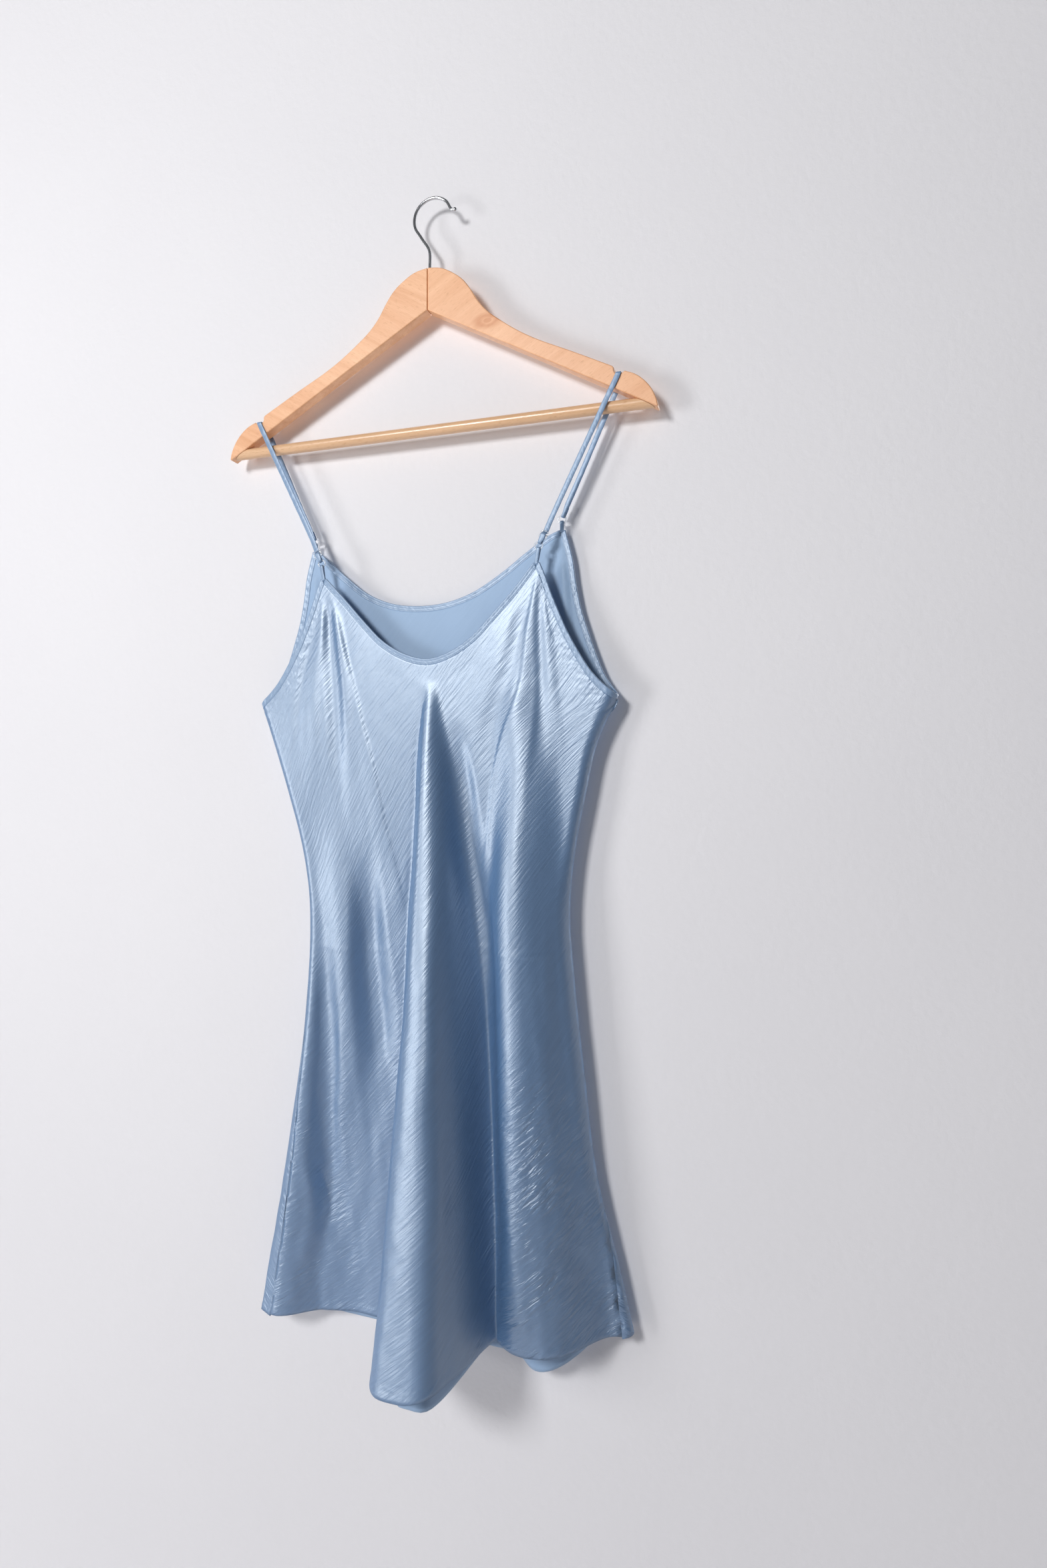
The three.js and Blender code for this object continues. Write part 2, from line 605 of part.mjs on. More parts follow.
// A panel is a grid of columns that keep their share of each level section, and that run
// straight up above the underarm to the line where the bindings are sewn on.
function buildPanel(face) {
  const inset = insetEdge(EDGES[face], BINDING_WIDTH + SEAM_GAP);
  const tops = [...inset.left, ...inset.neck.slice(1), ...inset.right.slice(1)];
  const chestLevel = UNDERARM.z - BINDING_WIDTH;
  const chest = sectionAt(face, chestLevel);
  const columns = tops.map((top, i) => {
    const fraction = i % (tops.length - 1) === 0 ? Math.sign(i) : fractionAtX(chest, top.x);
    return { top, fraction };
  });
  const pointAt = ({ top, fraction }, z, shift = 0) => {
    if (z > chestLevel) return onPanel(face, top.x + shift, z);
    const section = sectionAt(face, z);
    return placeInSection(section, fraction + shift / section.lengths[section.lengths.length - 1]).setZ(z);
  };
  const grid = Array.from({ length: PANEL_ROWS + 1 }, (_, j) =>
    columns.map((column) => {
      let { x, z } = column.top;
      for (let pass = 0; pass < HEM_PASSES; pass += 1) {
        z = lerp(HEM_AT[face](x), column.top.z, j / PANEL_ROWS);
        ({ x } = pointAt(column, z));
      }
      return pointAt(column, z);
    }),
  );
  const acrossAt = (j, i) => {
    const { z } = grid[j][i];
    return pointAt(columns[i], z, 1).sub(pointAt(columns[i], z, -1));
  };
  return wallFromGrid(grid, CLOTH_WALL, acrossAt);
}

const sectionCache = new Map();
function sectionAt(face, z) {
  const level = Math.round(z / SECTION_LEVEL) * SECTION_LEVEL;
  const key = `${face} ${level}`;
  if (!sectionCache.has(key)) sectionCache.set(key, panelSection(face, level));
  return sectionCache.get(key);
}

// A binding is a strip between the garment's edge and the line where the cloth begins.
function stripStations(edges, part) {
  const inner = insetEdge(edges, BINDING_WIDTH)[part];
  return SHARES[part].map((share, i) => [edges[part].getPointAt(share), inner[i]]);
}

function liftStations(face, stations) {
  return stations.map((pair) => pair.map((point) => onPanel(face, point.x, point.z)));
}

// The flat tip: a short stretch from the middle of the tip to the start of the edge.
function tipStation(face, tip, side, towards, inner) {
  const middle = side * tip.x + towards * (SEAM_GAP / 2);
  return [onPanel(face, middle, tip.z), onPanel(face, inner.x + towards * (SEAM_GAP / 2), inner.z)];
}

function buildNeckBinding(face) {
  const edges = EDGES[face];
  const strip = stripStations(edges, "neck");
  const stations = liftStations(face, strip);
  stations.unshift(tipStation(face, edges.tip, -1, 1, strip[0][1]));
  stations.push(tipStation(face, edges.tip, 1, -1, strip[strip.length - 1][1]));
  stations[1][1].x += SEAM_GAP;
  stations[stations.length - 2][1].x -= SEAM_GAP;
  return wallFromGrid([stations.map((pair) => pair[1]), stations.map((pair) => pair[0])], BINDING_WALL);
}

// The armhole binding runs from the front tip down to the underarm, round the side and up to
// the back tip in one strip.
function buildArmholeBinding(side) {
  const key = side > 0 ? "right" : "left";
  // From a tip down to the underarm.
  const half = (face) => {
    const strip = stripStations(EDGES[face], key);
    if (side < 0) strip.reverse();
    const stations = liftStations(face, strip);
    stations[0][1].x += side * SEAM_GAP;
    return [tipStation(face, EDGES[face].tip, side, side, strip[0][1]), ...stations];
  };
  const path = [...half("front"), ...half("back").reverse().slice(1)];
  if (side < 0) path.reverse();
  return wallFromGrid([path.map((pair) => pair[1]), path.map((pair) => pair[0])], BINDING_WALL);
}

// ---- Straps and their fittings ---------------------------------------------------------------

// A flat strip along stations of { at, across, width }.
function ribbon(stations, wall) {
  const edge = (sign) => stations.map(({ at, across, width }) => at.clone().addScaledVector(across, (sign * width) / 2));
  return wallFromGrid([edge(-1), edge(1)], wall);
}

function buildStrap(side) {
  const station = (x, y, z, lean, width = STRAP_WIDTH) => {
    const angle = THREE.MathUtils.degToRad(lean);
    return { at: vector(side * x, y, z), across: vector(side * Math.cos(angle), 0, -Math.sin(angle)), width };
  };
  const leg = (rows) => rows.map(({ x, y, z, lean }) => station(x, y, z, lean));
  // Places below are given along the strap from a fitting's centre and through it in Y.
  const beside = (centre, lean, along, through, depth, width) => {
    const angle = THREE.MathUtils.degToRad(lean);
    const x = centre.x + along * Math.sin(angle);
    return station(x, depth + through, centre.z + along * Math.cos(angle), lean, width);
  };
  const half = STRAP_WALL / 2 + SEAM_GAP;
  const wrapRadius = RING_WIRE + half;
  const wrap = (ring, lean, depth, front) => {
    const stations = [];
    for (let i = 0; i <= 4; i += 1) {
      const angle = (Math.PI * i) / 4;
      const along = RING_RADIUS - RING_SAG - wrapRadius * Math.sin(angle);
      stations.push(beside(ring, lean, along, -front * wrapRadius * Math.cos(angle), depth, STRAP_PINCH));
    }
    return stations;
  };
  // Over the arm: up the back face, across the floor of the notch and down the front face.
  const over = [];
  for (const face of [1, -1]) {
    for (let i = 0; i <= 2; i += 1) {
      const angle = (Math.PI / 4) * (face > 0 ? i : 2 - i);
      const y = face * (ARM_THICKNESS / 2 + half * Math.cos(angle));
      over.push(station(186.5, y, NOTCH_FLOOR + half * Math.sin(angle), 0));
    }
  }
  const backDepth = panelDepth("back", BACK_TIP.x, BACK_TIP.z);
  const frontDepth = panelDepth("front", FRONT_TIP.x, FRONT_TIP.z);
  const backLean = 24;
  const frontLean = 26;
  const backEnd = [
    beside(BACK_RING, backLean, 12, wrapRadius, backDepth, STRAP_PINCH),
    ...wrap(BACK_RING, backLean, backDepth, 1).reverse(),
    beside(BACK_RING, backLean, 12, -wrapRadius, backDepth, STRAP_WIDTH),
  ];
  const weave = [
    [4.6, 1.5],
    [3.1, 1.5],
    [0.5, -1.5],
    [-4, -1.5],
  ].map(([along, through]) => beside(SLIDER_CENTRE, frontLean, along, through, frontDepth, STRAP_WIDTH));
  const returnLeg = beside(SLIDER_CENTRE, frontLean, -0.3, 1.5, frontDepth, STRAP_PINCH);
  const frontEnd = [...weave, ...wrap(FRONT_RING, frontLean, frontDepth, 1), returnLeg];
  const route = [...backEnd, ...leg(BACK_STRAP).reverse(), ...over, ...leg(FRONT_STRAP), ...frontEnd];
  return ribbon(route, STRAP_WALL);
}

// A small loop of folded cloth from the tip of a panel round the bottom of its ring.
function buildLoop(side, face, tip, ring) {
  const wireZ = ring.z - RING_RADIUS;
  const outer = RING_WIRE + SEAM_GAP + LOOP_WALL;
  const clear = RING_WIRE + SEAM_GAP;
  const rise = 0.6; // the ring curves up inside the width of the loop
  const shape = new THREE.Shape();
  shape.moveTo(-1, tip.z + SEAM_GAP);
  shape.lineTo(1, tip.z + SEAM_GAP);
  shape.lineTo(outer, wireZ);
  shape.lineTo(outer, wireZ + rise);
  shape.absarc(0, wireZ + rise, outer, 0, Math.PI, false);
  shape.lineTo(-outer, wireZ);
  const hole = new THREE.Path();
  hole.moveTo(clear, wireZ);
  hole.lineTo(clear, wireZ + rise);
  hole.absarc(0, wireZ + rise, clear, 0, Math.PI, false);
  hole.absarc(0, wireZ, clear, Math.PI, 2 * Math.PI, false);
  shape.holes.push(hole);
  const geometry = new THREE.ExtrudeGeometry(shape, { depth: LOOP_WIDTH, curveSegments: 5, bevelEnabled: false });
  // The outline was drawn in depth and height: turn it to face along X, and slant it so that
  // its foot stays on the tip while its head reaches the ring.
  geometry.translate(0, 0, -LOOP_WIDTH / 2);
  const position = geometry.attributes.position;
  const depth = panelDepth(face, tip.x, tip.z);
  for (let i = 0; i < position.count; i += 1) {
    const z = position.getY(i);
    const lean = clamp((z - tip.z) / (wireZ - tip.z), 0, 1);
    const x = side * lerp(tip.x, ring.x, lean) + position.getZ(i);
    position.setXYZ(i, x, depth + position.getX(i), z);
  }
  return fromSolid(toSolid(geometry));
}

function buildRing(side, face, tip, ring) {
  const geometry = new THREE.TorusGeometry(RING_RADIUS, RING_WIRE, 6, 18);
  geometry.rotateX(Math.PI / 2);
  geometry.translate(side * ring.x, panelDepth(face, tip.x, tip.z), ring.z);
  return geometry;
}

function buildSlider(side) {
  const { width, length, slotWidth, bar, plate } = SLIDER;
  const rectangle = (Kind, halfWidth, bottom, top) => {
    const outline = new Kind();
    outline.moveTo(-halfWidth, bottom);
    outline.lineTo(halfWidth, bottom);
    outline.lineTo(halfWidth, top);
    outline.lineTo(-halfWidth, top);
    outline.closePath();
    return outline;
  };
  const shape = rectangle(THREE.Shape, width / 2, -length / 2, length / 2);
  shape.holes.push(rectangle(THREE.Path, slotWidth / 2, bar / 2, length / 2 - bar));
  shape.holes.push(rectangle(THREE.Path, slotWidth / 2, bar - length / 2, -bar / 2));
  const geometry = plateAcross(shape, plate);
  geometry.rotateY(side * THREE.MathUtils.degToRad(26));
  const depth = panelDepth("front", FRONT_TIP.x, FRONT_TIP.z);
  geometry.translate(side * SLIDER_CENTRE.x, depth, SLIDER_CENTRE.z);
  return geometry;
}

// ---- Assembly --------------------------------------------------------------------------------

const group = new THREE.Group();
group.position.z = -HOOK_REACH;

group.add(piece("hanger_hook", buildHook(), CHROME));
group.add(piece("hanger_bar", buildBar(), BAR_WOOD));
group.add(piece("dress_front", buildPanel("front"), SATIN));
group.add(piece("dress_back", buildPanel("back"), SATIN));
group.add(piece("neck_binding_front", buildNeckBinding("front"), SATIN_BINDING));
group.add(piece("neck_binding_back", buildNeckBinding("back"), SATIN_BINDING));
for (const [side, label] of [[-1, "left"], [1, "right"]]) {
  group.add(piece(`hanger_arm_${label}`, buildArm(side), BEECH));
  group.add(piece(`armhole_binding_${label}`, buildArmholeBinding(side), SATIN_BINDING));
  group.add(piece(`strap_${label}`, buildStrap(side), SATIN));
  group.add(piece(`strap_slider_${label}`, buildSlider(side), CLEAR_PLASTIC));
  for (const [face, tip, ring] of [["front", FRONT_TIP, FRONT_RING], ["back", BACK_TIP, BACK_RING]]) {
    group.add(piece(`strap_loop_${face}_${label}`, buildLoop(side, face, tip, ring), SATIN_BINDING));
    group.add(piece(`strap_ring_${face}_${label}`, buildRing(side, face, tip, ring), CLEAR_PLASTIC));
  }
}

export default group;
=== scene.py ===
"""A bias-cut satin slip dress on a notched wooden hanger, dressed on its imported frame.

The frame gives the real construction in metres: +X to the right as the dress is seen from the
front, +Y away from the viewer, +Z up, and the origin where the hook bears. Shapes are worked out
in millimetres, with heights measured from the top of the wood, and brought into the frame's
metres by to_row when a mesh is made.
"""
import logging
import math
from dataclasses import dataclass, field
from enum import Enum, IntEnum
from typing import Sequence

import bmesh
import bpy
import numpy as np
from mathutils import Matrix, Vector


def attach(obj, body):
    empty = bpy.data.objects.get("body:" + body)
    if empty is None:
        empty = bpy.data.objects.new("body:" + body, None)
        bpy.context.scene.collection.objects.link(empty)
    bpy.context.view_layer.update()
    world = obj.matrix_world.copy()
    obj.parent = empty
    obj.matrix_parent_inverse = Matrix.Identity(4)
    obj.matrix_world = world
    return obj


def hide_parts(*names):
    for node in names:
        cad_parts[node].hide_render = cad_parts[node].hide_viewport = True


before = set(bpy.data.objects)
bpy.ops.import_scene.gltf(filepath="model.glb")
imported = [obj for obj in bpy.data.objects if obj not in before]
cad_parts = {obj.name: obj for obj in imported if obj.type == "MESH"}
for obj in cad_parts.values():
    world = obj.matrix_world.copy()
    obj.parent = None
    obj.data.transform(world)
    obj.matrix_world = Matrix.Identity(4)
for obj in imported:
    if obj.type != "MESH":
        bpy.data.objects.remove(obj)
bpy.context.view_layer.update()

log = logging.getLogger("slip_dress")

Array = np.ndarray
Piece = bpy.types.Object
Material = bpy.types.Material
Socket = bpy.types.NodeSocket
Point = tuple[float, float]
Triple = tuple[float, float, float]

MM = 0.001
HOOK_REACH = 67.8  # from the bearing point down to the top of the wood
WELD_REACH = 1e-6  # metres
UP = np.array([0.0, 0.0, 1.0])
AWAY = np.array([0.0, 1.0, 0.0])  # from the viewer to the wall


def to_row(points: Array) -> Array:
    """Millimetres from the top of the wood to metres from the bearing point.

    Args:
        points: (..., 3) places in millimetres.

    Returns:
        The same places in the frame's metres.
    """
    return (points - UP * HOOK_REACH) * MM


# ---- Meshes ----


def unit(vectors: Array) -> Array:
    """Vectors scaled to length one along their last axis."""
    return vectors / np.maximum(np.linalg.norm(vectors, axis=-1, keepdims=True), 1e-9)


def grid_quads(rows: int, columns: int, start: int = 0, ring: bool = False) -> Array:
    """Quads of a grid whose vertices run row by row.

    Args:
        rows: number of vertex rows.
        columns: number of vertices in a row.
        start: index of the first vertex.
        ring: whether each row closes on itself.

    Returns:
        (n, 4) vertex indices, turned so that row direction x column direction points outwards.
    """
    j = np.arange(rows - 1)[:, None]
    i = np.arange(columns if ring else columns - 1)[None, :]
    k = (i + 1) % columns
    quads = [j * columns + i, j * columns + k, (j + 1) * columns + k, (j + 1) * columns + i]
    return np.stack(np.broadcast_arrays(*quads), axis=-1).reshape(-1, 4) + start


def new_piece(
    name: str,
    points: Array,
    faces: Array | Sequence[Sequence[int]],
    finishes: Sequence[Material],
    face_finish: Array | None = None,
    uv: Array | None = None,
) -> Piece:
    """Makes a smooth mesh object at the origin from millimetre points.

    Args:
        name: the piece's name.
        points: (n, 3) millimetre places.
        faces: vertex indices of each face.
        finishes: materials, one per slot.
        face_finish: slot number of each face.
        uv: (n, 2) cloth coordinates of each vertex, in metres.

    Returns:
        The new object, linked into the scene.
    """
    mesh = bpy.data.meshes.new(name)
    quads = faces.tolist() if isinstance(faces, Array) else faces
    mesh.from_pydata(to_row(points).tolist(), [], quads)
    for finish in finishes:
        mesh.materials.append(finish)
    if face_finish is not None:
        mesh.polygons.foreach_set("material_index", np.asarray(face_finish, dtype=np.int32))
    if uv is not None:
        corner = np.empty(len(mesh.loops), dtype=np.int32)
        mesh.loops.foreach_get("vertex_index", corner)
        layer = mesh.uv_layers.new(name="cloth")
        layer.data.foreach_set("uv", uv[corner].astype(np.float32).ravel())
    mesh.polygons.foreach_set("use_smooth", np.full(len(mesh.polygons), True))
    mesh.update()
    piece = bpy.data.objects.new(name, mesh)
    bpy.context.collection.objects.link(piece)
    return piece


def add_mask(piece: Piece, name: str, values: Array) -> None:
    """Stores one number per vertex on a piece as a point attribute that materials can read."""
    layer = piece.data.attributes.new(name, "FLOAT", "POINT")
    layer.data.foreach_set("value", values.astype(np.float32).ravel())


def add_even_masks(piece: Piece, pucker: float, crumple: float) -> None:
    """Gives a whole piece one amount of sewing pucker and one of crumpling."""
    for name, amount in (("pucker", pucker), ("crumple", crumple)):
        add_mask(piece, name, np.full(len(piece.data.vertices), amount))


def outward_faces(piece: Piece, weld: bool = False) -> None:
    """Turns every face of a closed piece outwards.

    Args:
        piece: the piece.
        weld: whether vertices at one place are merged first, as at a pole.
    """
    mesh = bmesh.new()
    mesh.from_mesh(piece.data)
    if weld:
        bmesh.ops.remove_doubles(mesh, verts=mesh.verts, dist=WELD_REACH)
    bmesh.ops.recalc_face_normals(mesh, faces=mesh.faces)
    mesh.to_mesh(piece.data)
    mesh.free()


def register(piece: Piece, nodes: Sequence[str] = ()) -> Piece:
    """Rides a finished piece on the one body and the nodes it stands for.

    Args:
        piece: the finished piece.
        nodes: names of the CAD nodes that it replaces.

    Returns:
        The same piece.
    """
    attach(piece, "root")
    if nodes:
        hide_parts(*nodes)
    log.info("%s: %d faces", piece.name, len(piece.data.polygons))
    return piece


# ---- Curves ----


def smooth_table(keys: Array, values: Array, at: Array) -> Array:
    """Reads a table column on a smooth curve: a cubic through each pair of rows whose end slopes
    are those of the chord between the neighbouring rows.

    Args:
        keys: increasing key values.
        values: the column.
        at: where to read it.

    Returns:
        The values there, held constant past both ends.
    """
    slopes = np.gradient(values, keys)
    slopes[1:-1] = (values[2:] - values[:-2]) / (keys[2:] - keys[:-2])
    i = np.clip(np.searchsorted(keys, at) - 1, 0, len(keys) - 2)
    span = keys[i + 1] - keys[i]
    t = np.clip((at - keys[i]) / span, 0, 1)
    rise = values[i + 1] - values[i]
    cubic = values[i] + rise * t * t * (3 - 2 * t)
    cubic = cubic + slopes[i] * span * (t**3 - 2 * t**2 + t)
    return cubic + slopes[i + 1] * span * (t**3 - t**2)


def curve_through(points: Sequence[Sequence[float]], count: int) -> Array:
    """Points evenly spaced by length along a centripetal Catmull-Rom curve.

    Args:
        points: the places that it passes through.
        count: how many points to return.

    Returns:
        (count, dimensions) places.
    """
    nodes = np.asarray(points, dtype=float)
    nodes = np.vstack([2 * nodes[0] - nodes[1], nodes, 2 * nodes[-1] - nodes[-2]])
    knots = np.concatenate([[0], np.cumsum(np.linalg.norm(np.diff(nodes, axis=0), axis=1) ** 0.5)])
    t = np.linspace(knots[1], knots[-2], 24 * len(points))
    i = np.clip(np.searchsorted(knots, t, side="right") - 1, 1, len(knots) - 3)

    def mix(a: Array, b: Array, ta: Array, tb: Array) -> Array:
        """The line from a at ta to b at tb, read at t."""
        share = ((t - ta) / (tb - ta))[:, None]
        return a * (1 - share) + b * share

    k = [knots[i + d] for d in (-1, 0, 1, 2)]
    p = [nodes[i + d] for d in (-1, 0, 1, 2)]
    first = [mix(p[n], p[n + 1], k[n], k[n + 1]) for n in range(3)]
    second = [mix(first[n], first[n + 1], k[n], k[n + 2]) for n in range(2)]
    return resample(mix(second[0], second[1], k[1], k[2]), np.linspace(0, 1, count))


def run_along(points: Array) -> Array:
    """Length along a polyline from its first point to each of its points."""
    return np.concatenate([[0], np.cumsum(np.linalg.norm(np.diff(points, axis=0), axis=1))])


def resample(points: Array, shares: Array) -> Array:
    """Places along a polyline.

    Args:
        points: (n, dimensions) polyline.
        shares: where to read it, as shares of its length.

    Returns:
        The places.
    """
    length = run_along(points)
    at = shares * length[-1]
    return np.stack([np.interp(at, length, points[:, d]) for d in range(points.shape[1])], axis=-1)


def crossing(first: Array, second: Array) -> tuple[float, float]:
    """Where two polylines in a plane first cross: both pairs of segments are solved for the shares
    s and t at which they meet, and a crossing has both between 0 and 1.

    Args:
        first: (n, 2) polyline.
        second: (m, 2) polyline.

    Returns:
        The crossing's share of each one's point count.
    """
    a, b = first[:-1, None], second[None, :-1]
    along, other = np.diff(first, axis=0)[:, None], np.diff(second, axis=0)[None]
    cross = along[..., 0] * other[..., 1] - along[..., 1] * other[..., 0]
    gap = b - a
    s = (gap[..., 0] * other[..., 1] - gap[..., 1] * other[..., 0]) / cross
    t = (gap[..., 0] * along[..., 1] - gap[..., 1] * along[..., 0]) / cross
    i, j = np.argwhere((s >= 0) & (s <= 1) & (t >= 0) & (t <= 1))[0]
    return (i + s[i, j]) / (len(first) - 1), (j + t[i, j]) / (len(second) - 1)


class SmoothNoise:
    """Smooth repeatable unevenness: a sum of sine waves with seeded directions and phases."""

    SIZES = (0.6, 1.6)  # least and greatest rate of a wave against the typical one
    LEVEL = 0.8

    def __init__(self, seed: int, wavelength: Point, waves: int = 7) -> None:
        """Chooses the waves.

        Args:
            seed: makes the result repeatable.
            wavelength: typical length of a wave along the first and second coordinate.
            waves: how many are summed.
        """
        random = np.random.default_rng(seed)
        angle = random.uniform(0, 2 * math.pi, waves)
        size = random.uniform(*self.SIZES, waves)
        self.first = np.cos(angle) * size * 2 * math.pi / wavelength[0]
        self.second = np.sin(angle) * size * 2 * math.pi / wavelength[1]
        self.phase = random.uniform(0, 2 * math.pi, waves)

    def at(self, first: Array, second: Array) -> Array:
        """The unevenness at two coordinates: the sum of sines over the root of their number.

        Args:
            first: the first coordinate.
            second: the second coordinate.

        Returns:
            Values of about -1 to 1.
        """
        total = np.zeros(np.broadcast(first, second).shape)
        for a, b, phase in zip(self.first, self.second, self.phase):
            total = total + np.sin(a * first + b * second + phase)
        return total / math.sqrt(len(self.phase)) * self.LEVEL


# ---- Solids of a profile or a wall ----


def sweep(path: Array, across: Array, outward: Array, profile: Array) -> tuple[Array, list]:
    """Carries a closed profile along a path and closes both ends.

    A vertex is path + across * profile's first column + outward * its second.

    Args:
        path: (n, 3) stations.
        across: (n, 3) or (3,) direction of the profile's first column.
        outward: (n, 3) or (3,) direction of its second column.
        profile: (k, 2) or (n, k, 2) section, anticlockwise as seen with across to the right and
            outward up when the path comes towards the eye.

    Returns:
        Vertices and faces.
    """
    count, sides = len(path), profile.shape[-2]
    profile = np.broadcast_to(profile, (count, sides, 2))
    across = np.broadcast_to(across, path.shape)[:, None]
    outward = np.broadcast_to(outward, path.shape)[:, None]
    points = path[:, None] + across * profile[..., :1] + outward * profile[..., 1:]
    faces = grid_quads(count, sides, ring=True).tolist()
    faces.append(list(range(sides))[::-1])
    faces.append(list(range((count - 1) * sides, count * sides)))
    if np.dot(np.cross(across[0, 0], outward[0, 0]), path[1] - path[0]) < 0:
        faces = [face[::-1] for face in faces]
    return points.reshape(-1, 3), faces


def round_profile(radius: float, sides: int) -> Array:
    """A regular polygon standing for a circle."""
    angle = np.linspace(0, 2 * math.pi, sides, endpoint=False)
    return radius * np.stack([np.cos(angle), np.sin(angle)], axis=-1)


def band_profile(low: float, high: float, thickness: float, sides: int = 6) -> Array:
    """A flat band with half-round edges, from low to high across and centred outwards.

    Args:
        low: one edge.
        high: the other edge.
        thickness: its thickness.
        sides: faces round each half-round edge.

    Returns:
        (n, 2) section, anticlockwise.
    """
    radius = thickness / 2
    angle = np.linspace(-math.pi / 2, math.pi / 2, sides + 1)
    right = np.stack([high - radius + radius * np.cos(angle), radius * np.sin(angle)], axis=-1)
    left = np.stack([low + radius - radius * np.cos(angle), -radius * np.sin(angle)], axis=-1)
    return np.vstack([right, left])


def joined(parts: Sequence[tuple[Array, Sequence]]) -> tuple[Array, list]:
    """Several meshes put together as one, with each one's vertex numbers moved past the last's.

    Args:
        parts: (vertices, faces) of each.

    Returns:
        All vertices and all faces.
    """
    points, faces, start = [], [], 0
    for vertices, quads in parts:
        points.append(vertices)
        faces.extend([int(v) + start for v in face] for face in quads)
        start += len(vertices)
    return np.vstack(points), faces


def cloth_wall(middle: Array, outward: Array, thickness: Array) -> tuple[Array, Array, Array]:
    """A thin closed wall on a grid: each side is the grid moved half the thickness along outward.

    Args:
        middle: (rows, columns, 3) mid-surface.
        outward: (rows, columns, 3) directions out of the garment.
        thickness: (rows, columns) or one number.

    Returns:
        Vertices, faces, and 0 or 1 for each face: outside, or inside of the garment.
    """
    rows, columns = middle.shape[:2]
    half = np.broadcast_to(np.asarray(thickness) / 2, (rows, columns))[..., None]
    points = np.stack([middle + outward * half, middle - outward * half]).reshape(-1, 3)
    outer = grid_quads(rows, columns)
    across = middle[0, 1] - middle[0, 0]
    flipped = np.dot(np.cross(across, middle[1, 0] - middle[0, 0]), outward[0, 0]) < 0
    inner = grid_quads(rows, columns, rows * columns)
    rim = np.concatenate(
        [
            np.arange(columns),
            np.arange(1, rows) * columns + columns - 1,
            (rows - 1) * columns + np.arange(columns - 2, -1, -1),
            np.arange(rows - 2, 0, -1) * columns,
        ]
    )
    behind = np.roll(rim, -1)
    edge = np.stack([rim, rim + rows * columns, behind + rows * columns, behind], axis=-1)
    if flipped:
        outer, edge = outer[:, ::-1], edge[:, ::-1]
    else:
        inner = inner[:, ::-1]
    side = np.concatenate([np.zeros(len(outer)), np.ones(len(inner)), np.zeros(len(edge))])
    return points, np.vstack([outer, inner, edge]), side.astype(int)


# ---- The form of the dress ----


class Face(Enum):
    """The two panels of the dress, and which way each faces along Y."""

    FRONT = -1
    BACK = 1

    @property
    def word(self) -> str:
        """The panel as it stands in names."""
        return self.name.lower()


class Side(Enum):
    """The viewer's left and right."""

    LEFT = -1
    RIGHT = 1

    @property
    def word(self) -> str:
        """The side as it stands in names."""
        return self.name.lower()


class Edge(Enum):
    """The three stretches of a panel's top edge, from left to right."""

    LEFT = "left armhole"
    NECK = "neck"
    RIGHT = "right armhole"


class Column(IntEnum):
    """Columns of the outline table after its height: side outlines, Y of the left side, the middle
    and the right side, and how much of the back comes round each side before the seam."""

    LEFT = 1
    RIGHT = 2
    LEFT_DEPTH = 3
    MIDDLE = 4
    RIGHT_DEPTH = 5
    LEFT_WRAP = 6
    RIGHT_WRAP = 7


@dataclass(frozen=True)
class Fold:
    """A fold of a panel that stands out towards the viewer, from its soft top down to the hem.

    Its depth across is a raised cosine, and it grows with the share of the way down to a power.
    """

    top: float
    top_x: float
    hem_x: float
    left: Point  # reach to the left at the top and at the hem
    right: Point
    depth: float  # at the hem
    growth: float  # power of the depth
    blunt: float  # power of the offset at the hem, above 1 for a flatter face
    swell: float = 0.0  # how much wider the right side is half way down

    def at(self, x: Array, z: Array) -> Array:
        """How far the cloth stands forward: depth * down ** growth * raised cosine of the offset.

        Args:
            x: how far across.
            z: how high.

        Returns:
            Millimetres towards the viewer.
        """
        down = np.clip((self.top - z) / (self.top - HEM_LEVEL), 0, PAST_HEM)
        offset = x - (self.top_x + (self.hem_x - self.top_x) * down)
        left = self.left[0] + (self.left[1] - self.left[0]) * down
        right = self.right[0] + (self.right[1] - self.right[0]) * down
        right = right + self.swell * 4 * down * np.maximum(1 - down, 0)
        across = np.abs(offset) / np.where(offset < 0, left, right)
        power = 1 + (self.blunt - 1) * down
        bump = 0.5 * (1 + np.cos(math.pi * np.minimum(across, 1) ** power))
        return self.depth * down**self.growth * bump


HEM_LEVEL = -1018.0
PAST_HEM = 1.03  # a fold goes on growing a little below the level where it is measured

FRONT_FOLDS = (
    Fold(-398, 3, 22, (9, 64), (10, 58), 108, 1.1, 2.4, 16),
    Fold(-400, 92, 120, (22, 72), (34, 66), 46, 0.85, 1.3),
    Fold(-636, -108, -150, (16, 26), (24, 36), 13, 1.1, 1.2),
    Fold(-560, -58, -84, (20, 32), (24, 34), -3.5, 0.8, 1.1),
)
BACK_FOLDS = (
    Fold(-536, 8, 22, (8, 33), (8, 33), 104, 1.3, 2.4),
    Fold(-556, 100, 120, (18, 38), (24, 46), 24, 1.2, 1.3),
    Fold(-636, -104, -140, (14, 24), (20, 30), 6, 1.0, 1.1),
)


class Line(Enum):
    """How a crease's sides fall away from its line."""

    SOFT = 1.0
    SHARP = 2.6


